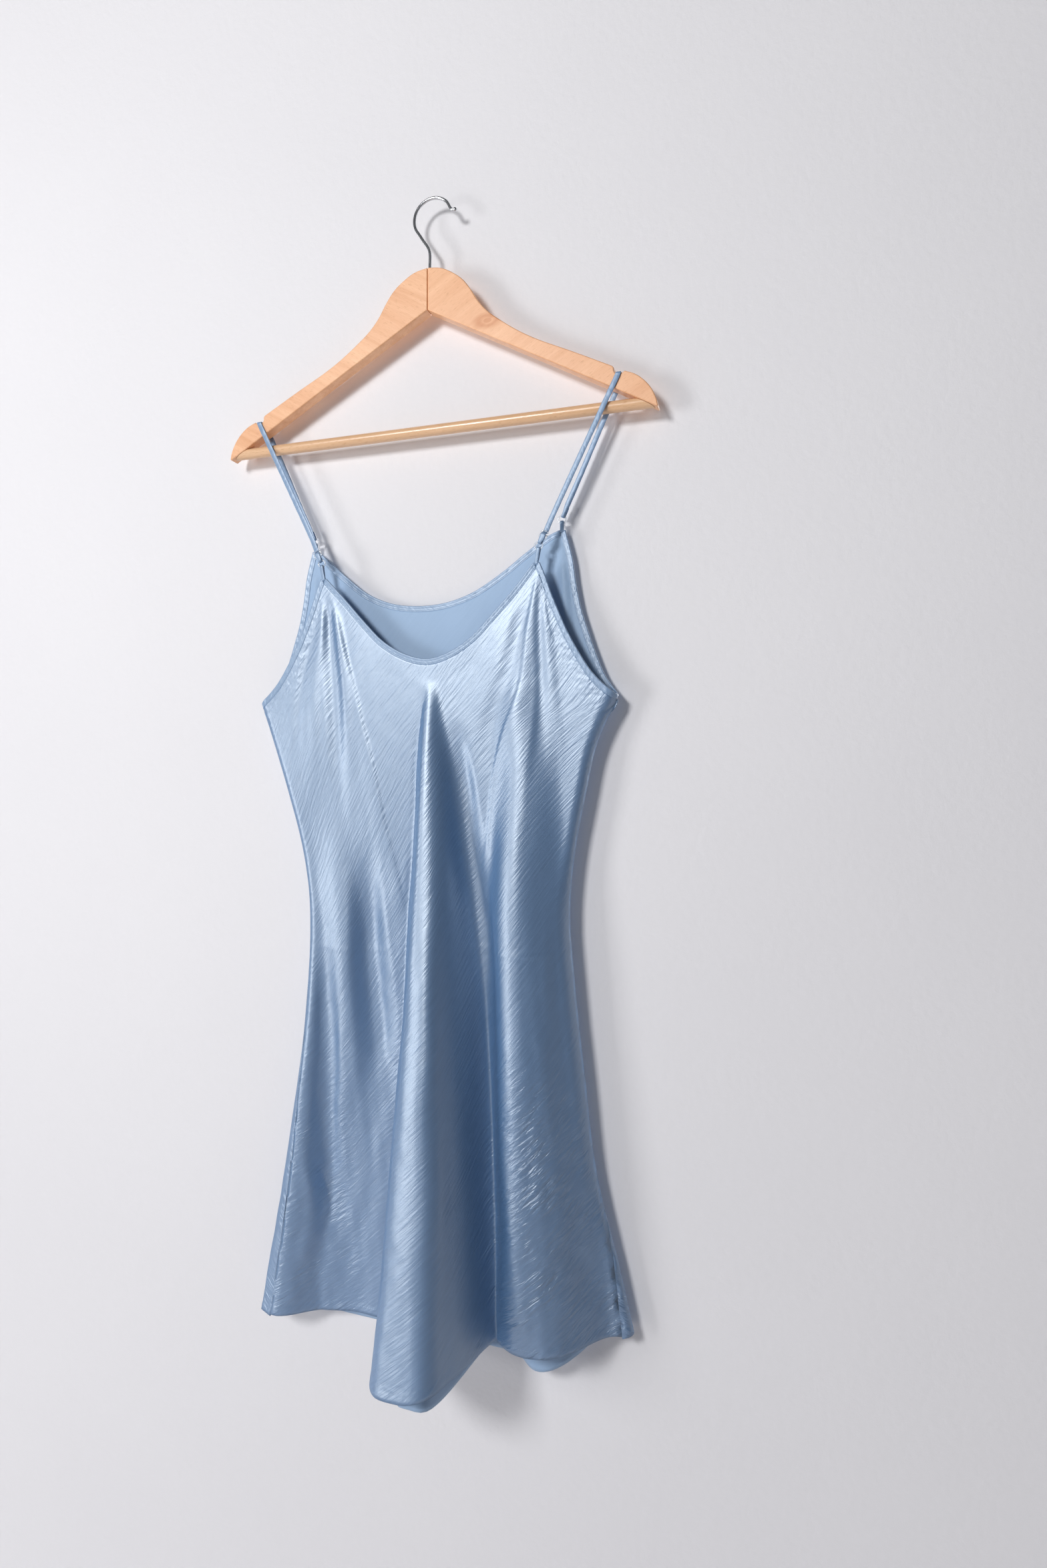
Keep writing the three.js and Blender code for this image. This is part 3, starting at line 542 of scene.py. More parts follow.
@dataclass(frozen=True)
class Crease:
    """A trough or ridge of a panel along a line.

    Its height is height * (0.5 + 0.5 cos(pi * |offset| / reach)) ** line, with a reach of its own
    on each side, and fades in and out over the first and last shares of its length.
    """

    line: tuple[Point, ...]
    height: float
    left: Point  # reach to the left at the start and at the end
    right: Point
    fade: Point = (0.3, 0.4)
    kind: Line = Line.SOFT

    def at(self, x: Array, z: Array) -> Array:
        """Its height at places of the front view.

        Args:
            x: how far across.
            z: how high.

        Returns:
            Millimetres towards the outside of the garment.
        """
        path = curve_through(self.line, max(6, 4 * len(self.line)))
        near = np.full(x.shape, np.inf)
        share, side = np.zeros(x.shape), np.ones(x.shape)
        steps = np.diff(path, axis=0)
        for i, step in enumerate(steps):
            dx, dz = x - path[i, 0], z - path[i, 1]
            size = float(np.dot(step, step))
            t = np.clip((dx * step[0] + dz * step[1]) / size, 0, 1)
            gap = np.hypot(dx - t * step[0], dz - t * step[1])
            closer = gap < near
            near = np.where(closer, gap, near)
            share = np.where(closer, (i + t) / len(steps), share)
            side = np.where(closer, np.sign(step[0] * dz - step[1] * dx), side)
        left = self.left[0] + (self.left[1] - self.left[0]) * share
        right = self.right[0] + (self.right[1] - self.right[0]) * share
        reach = np.where(side > 0, right, left)
        bump = (0.5 + 0.5 * np.cos(math.pi * np.minimum(near / reach, 1))) ** self.kind.value
        grow = np.clip(share / self.fade[0], 0, 1) * np.clip((1 - share) / self.fade[1], 0, 1)
        return self.height * bump * grow * grow * (3 - 2 * grow)


# The front's creases, from the straps down. Lines run downwards, or from left to right.
FRONT_CREASES = (
    # the long folds from the strap points to the middle
    Crease(((-106, -301), (-82, -382), (-51, -505), (-20, -626)),
           0.9, (26, 34), (5, 6), (0.05, 0.1), Line.SHARP),
    Crease(((111, -299), (97, -389), (79, -455), (68, -497), (62, -553), (56, -589)),
           1.1, (3.5, 4), (26, 30), (0.05, 0.2), Line.SHARP),
    # under the left strap point
    Crease(((-107, -305), (-104, -360), (-97, -440), (-86, -540)), -2.2, (7, 18), (8, 22), (0.12, 0.5)),
    Crease(((-112, -310), (-117, -380), (-122, -450), (-126, -520)), 0.9, (6, 12), (6, 10), (0.15, 0.5)),
    Crease(((-122, -335), (-133, -400), (-139, -440), (-141, -500)), -0.8, (6, 10), (6, 9), (0.2, 0.5)),
    Crease(((-100, -310), (-90, -370), (-84, -450), (-80, -560)), 1, (6, 13), (8, 16), (0.15, 0.5)),
    # under the right strap point
    Crease(((113, -301), (114, -380), (112, -470), (106, -580)), -0.8, (5, 10), (6, 14), (0.1, 0.5)),
    Crease(((117, -310), (124, -390), (128, -470), (126, -560)), 0.6, (5, 14), (6, 14), (0.2, 0.5)),
    Crease(((104, -320), (88, -380), (70, -440), (58, -500)), -1.2, (10, 22), (7, 14), (0.2, 0.4)),
    # the start of the centre fold
    Crease(((1, -398), (-5, -440), (-9, -490), (-13, -560), (-18, -650)),
           -1.3, (7, 12), (3, 5), (0.1, 0.3), Line.SHARP),
    Crease(((6, -400), (5, -450), (4, -520), (2, -600)), 1.1, (8, 12), (9, 16), (0.15, 0.5)),
    Crease(((26, -430), (36, -490), (48, -560), (60, -640), (66, -720)),
           -5.4, (16, 34), (14, 20), (0.25, 0.5)),
    # the face of the centre fold turned a little to the left, and the full flank of the right fold
    Crease(((14, -560), (22, -700), (30, -850), (37, -1000), (38, -1050)),
           6, (24, 42), (14, 22), (0.35, 0.02)),
    Crease(((74, -470), (84, -580), (90, -700), (94, -800), (99, -900), (104, -1010)),
           7, (22, 28), (30, 36), (0.3, 0.1)),
    # the left panel below the waist
    Crease(((-62, -540), (-60, -640), (-52, -720), (-42, -830)), -6.0, (22, 30), (18, 26), (0.4, 0.4)),
    Crease(((-104, -500), (-92, -600), (-82, -700), (-78, -800), (-76, -920)),
           5.0, (26, 34), (18, 28), (0.4, 0.4)),
    Crease(((-112, -620), (-108, -700), (-110, -790), (-106, -900), (-96, -990)),
           -5.0, (14, 26), (14, 26), (0.3, 0.3)),
    Crease(((-118, -880), (-108, -915), (-112, -945)), -1.1, (4, 6), (9, 12), (0.3, 0.3), Line.SHARP),
    Crease(((-128, -860), (-122, -900), (-124, -940), (-134, -985)), 1.6, (8, 12), (9, 14), (0.3, 0.3)),
    Crease(((-68, -830), (-74, -890), (-78, -950)), 1, (14, 16), (14, 18)),
    Crease(((-140, -560), (-122, -620), (-112, -680)), 0.7, (8, 10), (8, 12)),
    # the right panel below the waist
    Crease(((128, -600), (134, -690), (140, -780), (146, -850)), -1.1, (10, 14), (8, 12)),
    Crease(((118, -700), (124, -760), (130, -830)), 0.7, (9, 12), (8, 10)),
    Crease(((150, -780), (158, -850), (168, -930), (176, -980)), 0.8, (8, 12), (7, 10), (0.3, 0.3)),
    Crease(((104, -839), (112, -833), (121, -838), (130, -835)),
           -0.8, (4, 4), (5, 5), (0.2, 0.3), Line.SHARP),
    Crease(((140, -900), (156, -930), (164, -965)), -1, (12, 14), (12, 14)),
    Crease(((98, -850), (104, -900), (112, -960)), 0.6, (12, 14), (12, 14)),
    # creases of the folded storage
    Crease(((-122, -657), (-80, -660), (-34, -659)), 0.5, (3, 3), (3, 3), (0.15, 0.2), Line.SHARP),
    Crease(((34, -654), (60, -651), (90, -653), (140, -650)), 0.5, (3, 3), (3, 3), (0.3, 0.2), Line.SHARP),
)

# The back hangs flatter: the same pulls from the straps and a few soft hollows.
BACK_CREASES = (
    Crease(((-126, -272), (-104, -380), (-76, -500), (-40, -640)),
           1.1, (24, 34), (4, 5), (0.05, 0.15), Line.SHARP),
    Crease(((126, -272), (110, -370), (86, -480), (58, -600)),
           1, (4, 5), (24, 32), (0.05, 0.2), Line.SHARP),
    Crease(((-131, -275), (-134, -350), (-132, -430), (-124, -520)), -1.1, (6, 12), (6, 12), (0.12, 0.5)),
    Crease(((131, -275), (135, -360), (134, -450), (128, -540)), -1, (6, 12), (6, 13), (0.12, 0.5)),
    Crease(((-118, -300), (-112, -400), (-108, -500)), 0.7, (8, 12), (8, 12), (0.2, 0.5)),
    Crease(((116, -310), (112, -400), (110, -480)), 0.6, (8, 12), (8, 12), (0.2, 0.5)),
    Crease(((4, -470), (6, -520), (8, -600)), -1, (10, 14), (10, 14), (0.3, 0.3)),
    Crease(((-60, -620), (-72, -720), (-82, -840)), 0.9, (14, 20), (14, 22)),
    Crease(((70, -640), (66, -740), (62, -860)), 0.9, (14, 20), (12, 18)),
    Crease(((132, -660), (144, -760), (156, -880)), -0.9, (10, 14), (8, 12)),
    Crease(((-110, -680), (-118, -780), (-128, -900)), -0.9, (10, 14), (10, 14)),
    Crease(((-100, -655), (-30, -658), (60, -652), (130, -650)),
           0.5, (3, 3), (3, 3), (0.15, 0.15), Line.SHARP),
)


def table(*rows: Sequence[float]) -> Array:
    """Rows of a short table, sorted by their first column."""
    made = np.array(rows, dtype=float)
    return made[np.argsort(made[:, 0])]


@dataclass
class DressForm:
    """The hanging form shared by every cloth piece: side outlines, folds and edges."""

    # height, then the columns that Column names
    outline: Array = field(
        default_factory=lambda: table(
            (-416, -185, 185, 0, 0, 0, 0, 0),
            (-461, -169, 165, 0, 0, 0, 0, 0),
            (-510, -152, 154, -1, 0, -1, 0, 0),
            (-551, -140, 146, -1, 0, -1, 0, 0),
            (-593, -131, 141, -2, 0, -1, 0, 0),
            (-626, -128, 140, -3, 0, -1, 0, 0),
            (-666, -128, 143, -4, 0, -1, 0, 0),
            (-716, -131, 148, -5, 1, -1, 5, 0),
            (-766, -136, 154, -6, 1, -1, 9, 0),
            (-836, -147, 162, -7, 2, 0, 14, 0),
            (-881, -154, 171, -8, 2, 0, 17, 0),
            (-931, -162, 184, -10, 3, 2, 19, 7),
            (-993, -173, 198, -12, 3, 3, 20, 14),
            (-1040, -180, 207, -13, 3, 3, 20, 17),
        )
    )
    # height; how far the front and the back stand off the mid-surface
    stand_off: Array = field(
        default_factory=lambda: table((-260, 8.3, 8), (-416, 9.5, 8), (-700, 8, 8.5), (-1040, 6, 9))
    )
    hems: dict[Face, Array] = field(
        default_factory=lambda: {
            Face.FRONT: table(
                (-179, -1028), (-105, -1023), (-69, -1021), (22, -1018),
                (60, -1006), (120, -1001), (199, -994),
            ),
            Face.BACK: table(
                (-179, -1028), (-84, -1033), (22, -1035), (110, -1037),
                (146, -1022), (170, -1004), (199, -994),
            ),
        }
    )
    underarm: Point = (185, -416)
    tips: dict[Face, Point] = field(
        default_factory=lambda: {Face.FRONT: (110.5, -293), Face.BACK: (130, -260)}
    )
    armholes: dict[Face, tuple[Point, ...]] = field(
        default_factory=lambda: {
            Face.FRONT: (
                (118.5, -304), (125, -322), (132, -339), (140, -357), (151, -377), (162, -394), (173, -406)
            ),
            Face.BACK: (
                (136.5, -271), (140.5, -287), (144, -311), (149, -335),
                (156, -357), (163, -377), (172, -398),
            ),
        }
    )
    necks: dict[Face, tuple[Point, ...]] = field(
        default_factory=lambda: {
            Face.FRONT: (
                (-86, -315), (-65, -338), (-44, -358.5), (-20, -372), (2, -377),
                (23, -372), (46, -358.5), (68, -337), (89, -315),
            ),
            Face.BACK: (
                (-115, -270), (-96, -287), (-70, -307), (-44, -318), (-15, -322),
                (12, -320.5), (40, -312.5), (71, -295), (95, -278), (117, -264),
            ),
        }
    )
    tip_half_width: float = 3.4
    turn_width: float = 9
    side_sweep: float = 70
    crown: float = 1.2
    straight_reach: float = 14  # how near the underarm an inset turns straight down
    neck_points: int = 240
    armhole_points: int = 160
    inner_points: int = 200

    def read(self, column: Column, z: Array) -> Array:
        """A column of the outline table at a height. Above the underarm it stays as it is there."""
        below = np.minimum(z, self.underarm[1])
        return smooth_table(self.outline[:, 0], self.outline[:, column], below)

    def turn(self, x: Array, z: Array) -> Array:
        """0 at the sides and 1 inside: the cloth rounds the side on a quarter ellipse.

        Args:
            x: how far across.
            z: how high.

        Returns:
            sqrt(1 - (1 - t) ** 2), where t is the share of the turn's width.
        """
        inside = np.minimum(x - self.read(Column.LEFT, z), self.read(Column.RIGHT, z) - x)
        t = np.clip(inside / self.turn_width, 0, 1)
        return np.sqrt(1 - (1 - t) ** 2)

    def depth(self, face: Face, x: Array, z: Array) -> Array:
        """Y of a panel: mid-surface, stand-off with a slight crown, and folds.

        Args:
            face: the panel.
            x: how far across.
            z: how high.

        Returns:
            Millimetres away from the viewer.
        """
        low, high = self.read(Column.LEFT, z), self.read(Column.RIGHT, z)
        middle = self.read(Column.MIDDLE, z)
        left = np.clip(1 - (x - low) / self.side_sweep, 0, 1) ** 2
        right = np.clip(1 - (high - x) / self.side_sweep, 0, 1) ** 2
        centre = middle + (self.read(Column.LEFT_DEPTH, z) - middle) * left
        centre = centre + (self.read(Column.RIGHT_DEPTH, z) - middle) * right
        column = 1 if face is Face.FRONT else 2
        off = smooth_table(self.stand_off[:, 0], self.stand_off[:, column], z)
        off = off + self.crown * (1 - (2 * (x - low) / (high - low) - 1) ** 2)
        folds = FRONT_FOLDS if face is Face.FRONT else BACK_FOLDS
        forward = sum(fold.at(x, z) for fold in folds)
        return centre + (face.value * off - forward) * self.turn(x, z)

    def lift(self, face: Face, flat: Array) -> Array:
        """Places of the front view laid on a panel, kept within the side outlines.

        Args:
            face: the panel.
            flat: (..., 2) places, x and z.

        Returns:
            (..., 3) places.
        """
        z = flat[..., 1]
        x = np.clip(flat[..., 0], self.read(Column.LEFT, z), self.read(Column.RIGHT, z))
        return np.stack([x, self.depth(face, x, z), z], axis=-1)

    def outward(self, face: Face, flat: Array) -> Array:
        """Unit directions out of the garment, from differences a millimetre wide.

        Args:
            face: the panel.
            flat: (..., 2) places, x and z.

        Returns:
            (..., 3) directions.
        """
        step = 0.5
        right, left = (self.lift(face, flat + np.array([d, 0.0])) for d in (step, -step))
        up, down = (self.lift(face, flat + np.array([0.0, d])) for d in (step, -step))
        normal = np.cross(right - left, up - down)
        return unit(normal * -face.value)

    def edge(self, face: Face, part: Edge) -> Array:
        """One stretch of a panel's top edge, from left to right, as dense (x, z) places.

        Args:
            face: the panel.
            part: which stretch.

        Returns:
            (n, 2) evenly spaced places.
        """
        tip_x, tip_z = self.tips[face]
        half = self.tip_half_width
        if part is Edge.NECK:
            neck = [(half - tip_x, tip_z), *self.necks[face], (tip_x - half, tip_z)]
            return curve_through(neck, self.neck_points)
        armhole = [(tip_x + half, tip_z), *self.armholes[face], self.underarm]
        right = curve_through(armhole, self.armhole_points)
        return right if part is Edge.RIGHT else (right * np.array([-1, 1]))[::-1]

    def inset(self, face: Face, part: Edge, width: float) -> Array:
        """The line a width inside an edge. Near the underarm it is measured straight down.

        Args:
            face: the panel.
            part: which stretch.
            width: how far inside.

        Returns:
            (n, 2) places.
        """
        points = self.edge(face, part)
        along = unit(np.gradient(points, axis=0))
        inward = np.stack([along[:, 1], -along[:, 0]], axis=-1)
        away = np.hypot(self.underarm[0] - np.abs(points[:, 0]), self.underarm[1] - points[:, 1])
        share = np.clip(away / self.straight_reach, 0, 1)[:, None]
        return points + width * unit(inward * share + np.array([0, -1.0]) * (1 - share))

    def inner_line(self, face: Face, width: float) -> dict[Edge, Array]:
        """The three inset lines, cut where neighbours cross.

        Args:
            face: the panel.
            width: how far inside the edge.

        Returns:
            An (n, 2) polyline for each stretch.
        """
        lines = {part: self.inset(face, part, width) for part in Edge}
        for part in (Edge.LEFT, Edge.NECK):
            points = lines[part]
            lines[part] = np.vstack([points, points[-1] + width * unit(points[-1] - points[-2])])
        for part in (Edge.NECK, Edge.RIGHT):
            points = lines[part]
            lines[part] = np.vstack([points[0] + width * unit(points[0] - points[1]), points])
        left, neck, right = lines.values()
        left_end, neck_start = crossing(left, neck)
        neck_end, right_start = crossing(neck, right)

        def cut(points: Array, start: float, end: float) -> Array:
            """The part of a polyline between two shares of its point count.

            Args:
                points: the polyline.
                start: the first share.
                end: the second share.

            Returns:
                The part, in points evenly spaced by count.
            """
            at = np.linspace(start, end, self.inner_points) * (len(points) - 1)
            index = np.arange(len(points))
            return np.stack([np.interp(at, index, points[:, d]) for d in (0, 1)], axis=-1)

        return {
            Edge.LEFT: cut(left, 0, left_end),
            Edge.NECK: cut(neck, neck_start, neck_end),
            Edge.RIGHT: cut(right, right_start, 1),
        }


# ---- Finishes ----


class NodeTree:
    """A thin helper that adds nodes to a tree and joins them."""

    def __init__(self, tree: bpy.types.NodeTree) -> None:
        """Keeps the tree.

        Args:
            tree: a material's or a group's node tree.
        """
        self.tree = tree

    def add(self, kind: str, inputs: dict | None = None, **settings: object) -> bpy.types.Node:
        """A new node.

        Args:
            kind: its bl_idname.
            inputs: for each input's name or number, a value or a socket to link.
            settings: properties of the node itself.

        Returns:
            The node.
        """
        node = self.tree.nodes.new(kind)
        for name, value in settings.items():
            setattr(node, name, value)
        for name, value in (inputs or {}).items():
            self.feed(node.inputs[name], value)
        return node

    def feed(self, socket: Socket, value: object) -> None:
        """Links a socket into another, or sets its own value."""
        if isinstance(value, Socket):
            self.tree.links.new(value, socket)
        else:
            socket.default_value = value

    def feed_all(self, node: bpy.types.Node, values: dict[str, object]) -> None:
        """Links or sets several of a node's inputs by name."""
        for name, value in values.items():
            self.feed(node.inputs[name], value)

    def math(self, operation: str, first: object, second: object = 0.0, third: object = 0.0) -> Socket:
        """The result of a Math node on up to three values or sockets."""
        node = self.add("ShaderNodeMath", {0: first, 1: second, 2: third}, operation=operation)
        return node.outputs[0]

    def noise(self, vector: object, scale: float, detail: float, **more: float) -> Socket:
        """Noise of a scale and detail at a vector, and its other inputs by name."""
        inputs = {"Vector": vector, "Scale": scale, "Detail": detail, **more}
        return self.add("ShaderNodeTexNoise", inputs).outputs["Fac"]

    def scaled(self, vector: object, rates: Triple) -> Socket:
        """A vector times a rate along each axis, to draw a pattern out."""
        return self.add("ShaderNodeMapping", {"Vector": vector, "Scale": rates}).outputs[0]

    def centred(self, factor: object, amount: object) -> Socket:
        """(factor - 0.5) * amount: a noise's swing about its mean."""
        return self.math("MULTIPLY", self.math("SUBTRACT", factor, 0.5), amount)

    def ramp(self, value: object, stops: Sequence[tuple[float, Sequence[float]]]) -> Socket:
        """A colour ramp's colour.

        Args:
            value: the factor.
            stops: (position, colour) pairs, in order.

        Returns:
            The colour socket.
        """
        node = self.add("ShaderNodeValToRGB", {"Fac": value})
        elements = node.color_ramp.elements
        while len(elements) < len(stops):
            elements.new(0.5)
        for element, (position, colour) in zip(elements, stops):
            element.position = position
            element.color = (*colour, 1.0)[:4]
        return node.outputs["Color"]

    def mix(self, factor: object, first: object, second: object, blend: str = "MIX") -> Socket:
        """A mix of two colours.

        Args:
            factor: how much of the second.
            first: a colour or its socket.
            second: a colour or its socket.
            blend: the blend type.

        Returns:
            The mixed colour's socket.
        """
        node = self.add("ShaderNodeMix", data_type="RGBA", blend_type=blend)
        for name, value in zip(("Factor", "A", "B"), (factor, first, second)):
            socket = next(s for s in node.inputs if s.name == name and s.enabled)
            self.feed(socket, (*value, 1.0)[:4] if isinstance(value, tuple) else value)
        return next(s for s in node.outputs if s.enabled)


class NodeGroup(NodeTree):
    """A shader node group with named sockets, and a helper that fills it in."""

    def __init__(self, name: str, inputs: dict[str, float | Triple], outputs: dict[str, str]) -> None:
        """Makes the group with its sockets.

        Args:
            name: the group's name.
            inputs: default value of each input; a tuple makes it a colour.
            outputs: socket type of each output.
        """
        super().__init__(bpy.data.node_groups.new(name, "ShaderNodeTree"))
        sockets = self.tree.interface
        sockets.new_socket("Coordinates", in_out="INPUT", socket_type="NodeSocketVector")
        for key, value in inputs.items():
            colour = isinstance(value, tuple)
            kind = "NodeSocketColor" if colour else "NodeSocketFloat"
            socket = sockets.new_socket(key, in_out="INPUT", socket_type=kind)
            socket.default_value = (*value, 1.0) if colour else value
        for key, kind in outputs.items():
            sockets.new_socket(key, in_out="OUTPUT", socket_type=kind)
        self.given = {socket.name: socket for socket in self.add("NodeGroupInput").outputs if socket.name}
        self.out = self.add("NodeGroupOutput")


def cloth_group() -> bpy.types.NodeTree:
    """Satin cloth: long floats of yarn at the bias, slubs, and fine crumples where asked.

    Returns:
        A group from cloth coordinates, in metres, to a shade factor and a height.
    """
    nodes = NodeGroup(
        "satin_cloth",
        {"Yarn": 0.5, "Crumple": 0.0, "Pucker": 0.0},
        {"Shade": "NodeSocketFloat", "Height": "NodeSocketFloat"},
    )
    place, yarns = nodes.given["Coordinates"], nodes.given["Yarn"]

    def streaks(degrees: float, length: float, width: float, detail: float, **noise: float) -> Socket:
        """Noise drawn out along a slanting direction, with its mean taken off.

        Args:
            degrees: the direction, turned from the cloth's own across.
            length: length of a streak in metres.
            width: its width in metres.
            detail: the noise's detail.
            noise: its other inputs by name.

        Returns:
            The swing about zero.
        """
        turned = nodes.add(
            "ShaderNodeMapping",
            {"Vector": place, "Rotation": (0, 0, math.radians(degrees)), "Scale": (length, width, 1)},
            vector_type="TEXTURE",
        )
        return nodes.math("SUBTRACT", nodes.noise(turned.outputs[0], 1.0, detail, **noise), 0.5)

    slub = streaks(45, 0.034, 0.0026, 3.0)
    weave = nodes.math("MULTIPLY", streaks(45, 0.0016, 0.0003, 2.0), yarns)
    grain = nodes.centred(nodes.noise(place, 1500.0, 3.0), yarns)
    crumple = streaks(34, 0.024, 0.0042, 3.0, Roughness=0.55, Distortion=0.4)
    folds = nodes.math("MULTIPLY", crumple, nodes.given["Crumple"])
    patches = nodes.ramp(nodes.noise(place, 32.0, 2.0), ((0.35, (0.15,) * 3), (0.62, (1.0,) * 3)))
    folds = nodes.math("MULTIPLY", folds, patches)
    gathers = nodes.noise(nodes.scaled(place, (150, 150, 1)), 1.0, 1.0)
    ripple = nodes.centred(gathers, nodes.given["Pucker"])
    fine = nodes.math("ADD", nodes.math("MULTIPLY", weave, 0.05), nodes.math("MULTIPLY", grain, 0.05))
    fine = nodes.math("ADD", fine, nodes.math("MULTIPLY", slub, 0.42))
    height = nodes.math("ADD", fine, nodes.math("ADD", nodes.math("MULTIPLY", folds, 3.0), ripple))
    shade = nodes.math("ADD", nodes.math("MULTIPLY", weave, 0.5), nodes.math("MULTIPLY", grain, 0.9))
    shade = nodes.math("ADD", shade, nodes.math("MULTIPLY", slub, 0.7))
    nodes.feed_all(nodes.out, {"Height": height, "Shade": nodes.math("ADD", shade, 0.5)})
    return nodes.tree


def wood_group() -> bpy.types.NodeTree:
    """Pale wood: long fibres, growth bands, pores and one knot.

    Returns:
        A group from coordinates along the grain, in metres, to a colour and a height.
    """
    nodes = NodeGroup(
        "pale_wood",
        {"Light": (0.9, 0.66, 0.46), "Dark": (0.7, 0.42, 0.25), "Bands": 0.5, "Knot": 0.0},
        {"Color": "NodeSocketColor", "Height": "NodeSocketFloat"},
    )
    given = nodes.given
    place = given["Coordinates"]
    fibres = nodes.noise(nodes.scaled(place, (16, 260, 260)), 1.0, 6.0, Roughness=0.6)
    bands = nodes.noise(nodes.scaled(place, (4.5, 62, 62)), 1.0, 3.0, Distortion=0.8)
    pores = nodes.noise(nodes.scaled(place, (170, 1500, 1500)), 1.0, 1.0)
    tone = nodes.math("ADD", nodes.centred(fibres, 0.7), nodes.centred(bands, given["Bands"]))
    tone = nodes.math("ADD", tone, nodes.math("ADD", given["Knot"], 0.42))
    tone = nodes.add("ShaderNodeClamp", {"Value": tone}).outputs[0]
    colour = nodes.mix(tone, given["Light"], given["Dark"])
    specks = nodes.ramp(pores, ((0.6, (1.0,) * 3), (0.72, (0.72, 0.6, 0.5))))
    colour = nodes.mix(0.55, colour, specks, "MULTIPLY")
    nodes.feed_all(nodes.out, {"Color": colour, "Height": nodes.math("ADD", fibres, pores)})
    return nodes.tree


@dataclass(frozen=True)
class ClothFinish:
    """One cloth material: its colours, gloss and weave."""

    name: str
    light: Triple
    dark: Triple
    roughness: float
    sheen: float
    bump: float
    yarn: float = 0.5
    index: float = 1.9  # of refraction, high for satin's strong shine
    streak: float = 0.45  # how far the shine is drawn out
    streak_turn: float = 0.25
    shine: Triple = (0.85, 0.93, 1.0)
    sheen_roughness: float = 0.4
    relief: float = 0.0011  # metres from the lowest to the highest of the bump

    def build(self, group: bpy.types.NodeTree) -> Material:
        """Makes the material.

        Args:
            group: the satin cloth group.

        Returns:
            The material.
        """
        material, nodes, shader = new_material(self.name)
        values = {
            "Coordinates": nodes.add("ShaderNodeUVMap", uv_map="cloth").outputs["UV"],
            "Yarn": self.yarn,
            "Crumple": nodes.add("ShaderNodeAttribute", attribute_name="crumple").outputs["Fac"],
            "Pucker": nodes.add("ShaderNodeAttribute", attribute_name="pucker").outputs["Fac"],
        }
        cloth = nodes.add("ShaderNodeGroup", values, node_tree=group)
        height = {"Height": cloth.outputs["Height"], "Strength": self.bump, "Distance": self.relief}
        nodes.feed(shader.inputs["Base Color"], nodes.mix(cloth.outputs["Shade"], self.dark, self.light))
        nodes.feed(shader.inputs["Normal"], nodes.add("ShaderNodeBump", height).outputs[0])
        shader.inputs["Roughness"].default_value = self.roughness
        shader.inputs["Sheen Weight"].default_value = self.sheen
        shader.inputs["Sheen Roughness"].default_value = self.sheen_roughness
        shader.inputs["IOR"].default_value = self.index
        shader.inputs["Specular Tint"].default_value = (*self.shine, 1.0)
        shader.inputs["Anisotropic"].default_value = self.streak
        shader.inputs["Anisotropic Rotation"].default_value = self.streak_turn
        return material


def new_material(name: str) -> tuple[Material, NodeTree, bpy.types.Node]:
    """A new node material.

    Args:
        name: its name.

    Returns:
        The material, a helper for its tree, and its Principled shader.
    """
    material = bpy.data.materials.new(name)
    material.use_nodes = True
    shader = next(n for n in material.node_tree.nodes if n.type == "BSDF_PRINCIPLED")
    return material, NodeTree(material.node_tree), shader


@dataclass(frozen=True)
class WoodFinish:
    """A varnished wood whose grain runs at an angle in the plane of the hanger."""

    name: str
    light: Triple
    dark: Triple
    grain_degrees: float
    bands: float
    roughness: float = 0.38
    coat: float = 0.25
    coat_roughness: float = 0.25
    bump: float = 0.12
    relief: float = 0.0006
    knot: Triple | None = None  # its place in the wood, in metres
    knot_rate: float = 46.0  # how fast the ring falls away
    knot_depth: float = 1.5

    def build(self, group: bpy.types.NodeTree) -> Material:
        """Makes the material.

        Args:
            group: the pale wood group.

        Returns:
            The material.
        """
        material, nodes, shader = new_material(self.name)
        place = nodes.add("ShaderNodeTexCoord").outputs["Object"]
        along = {"Vector": place, "Rotation": (0, math.radians(self.grain_degrees), 0)}
        values = {
            "Coordinates": nodes.add("ShaderNodeMapping", along).outputs[0],
            "Light": (*self.light, 1),
            "Dark": (*self.dark, 1),
            "Bands": self.bands,
        }
        if self.knot:
            values["Knot"] = self.knot_mask(nodes, place)
        wood = nodes.add("ShaderNodeGroup", values, node_tree=group)
        height = {"Height": wood.outputs["Height"], "Strength": self.bump, "Distance": self.relief}
        nodes.feed(shader.inputs["Base Color"], wood.outputs["Color"])
        nodes.feed(shader.inputs["Normal"], nodes.add("ShaderNodeBump", height).outputs[0])
        shader.inputs["Roughness"].default_value = self.roughness
        shader.inputs["Coat Weight"].default_value = self.coat
        shader.inputs["Coat Roughness"].default_value = self.coat_roughness
        return material

    def knot_mask(self, nodes: NodeTree, place: Socket) -> Socket:
        """A dark eye with a ring, by the distance from the knot in an upright, tilted oval.

        Args:
            nodes: the material's helper.
            place: places in the wood.

        Returns:
            How much the knot darkens the wood.
        """
        offset = nodes.add("ShaderNodeVectorMath", {0: place, 1: self.knot}, operation="SUBTRACT")
        oval = {"Vector": offset.outputs[0], "Rotation": (0, math.radians(30), 0), "Scale": (1, 0.25, 1.9)}
        shaped = nodes.add("ShaderNodeMapping", oval).outputs[0]
        away = nodes.add("ShaderNodeVectorMath", {0: shaped}, operation="LENGTH").outputs["Value"]
        eye = ((0.0, 1.0), (0.13, 0.8), (0.2, 0.15), (0.42, 0.42), (0.8, 0.0))
        stops = [(at, (grey,) * 3) for at, grey in eye]
        ring = nodes.ramp(nodes.math("MULTIPLY", away, self.knot_rate), stops)
        return nodes.math("MULTIPLY", ring, self.knot_depth)


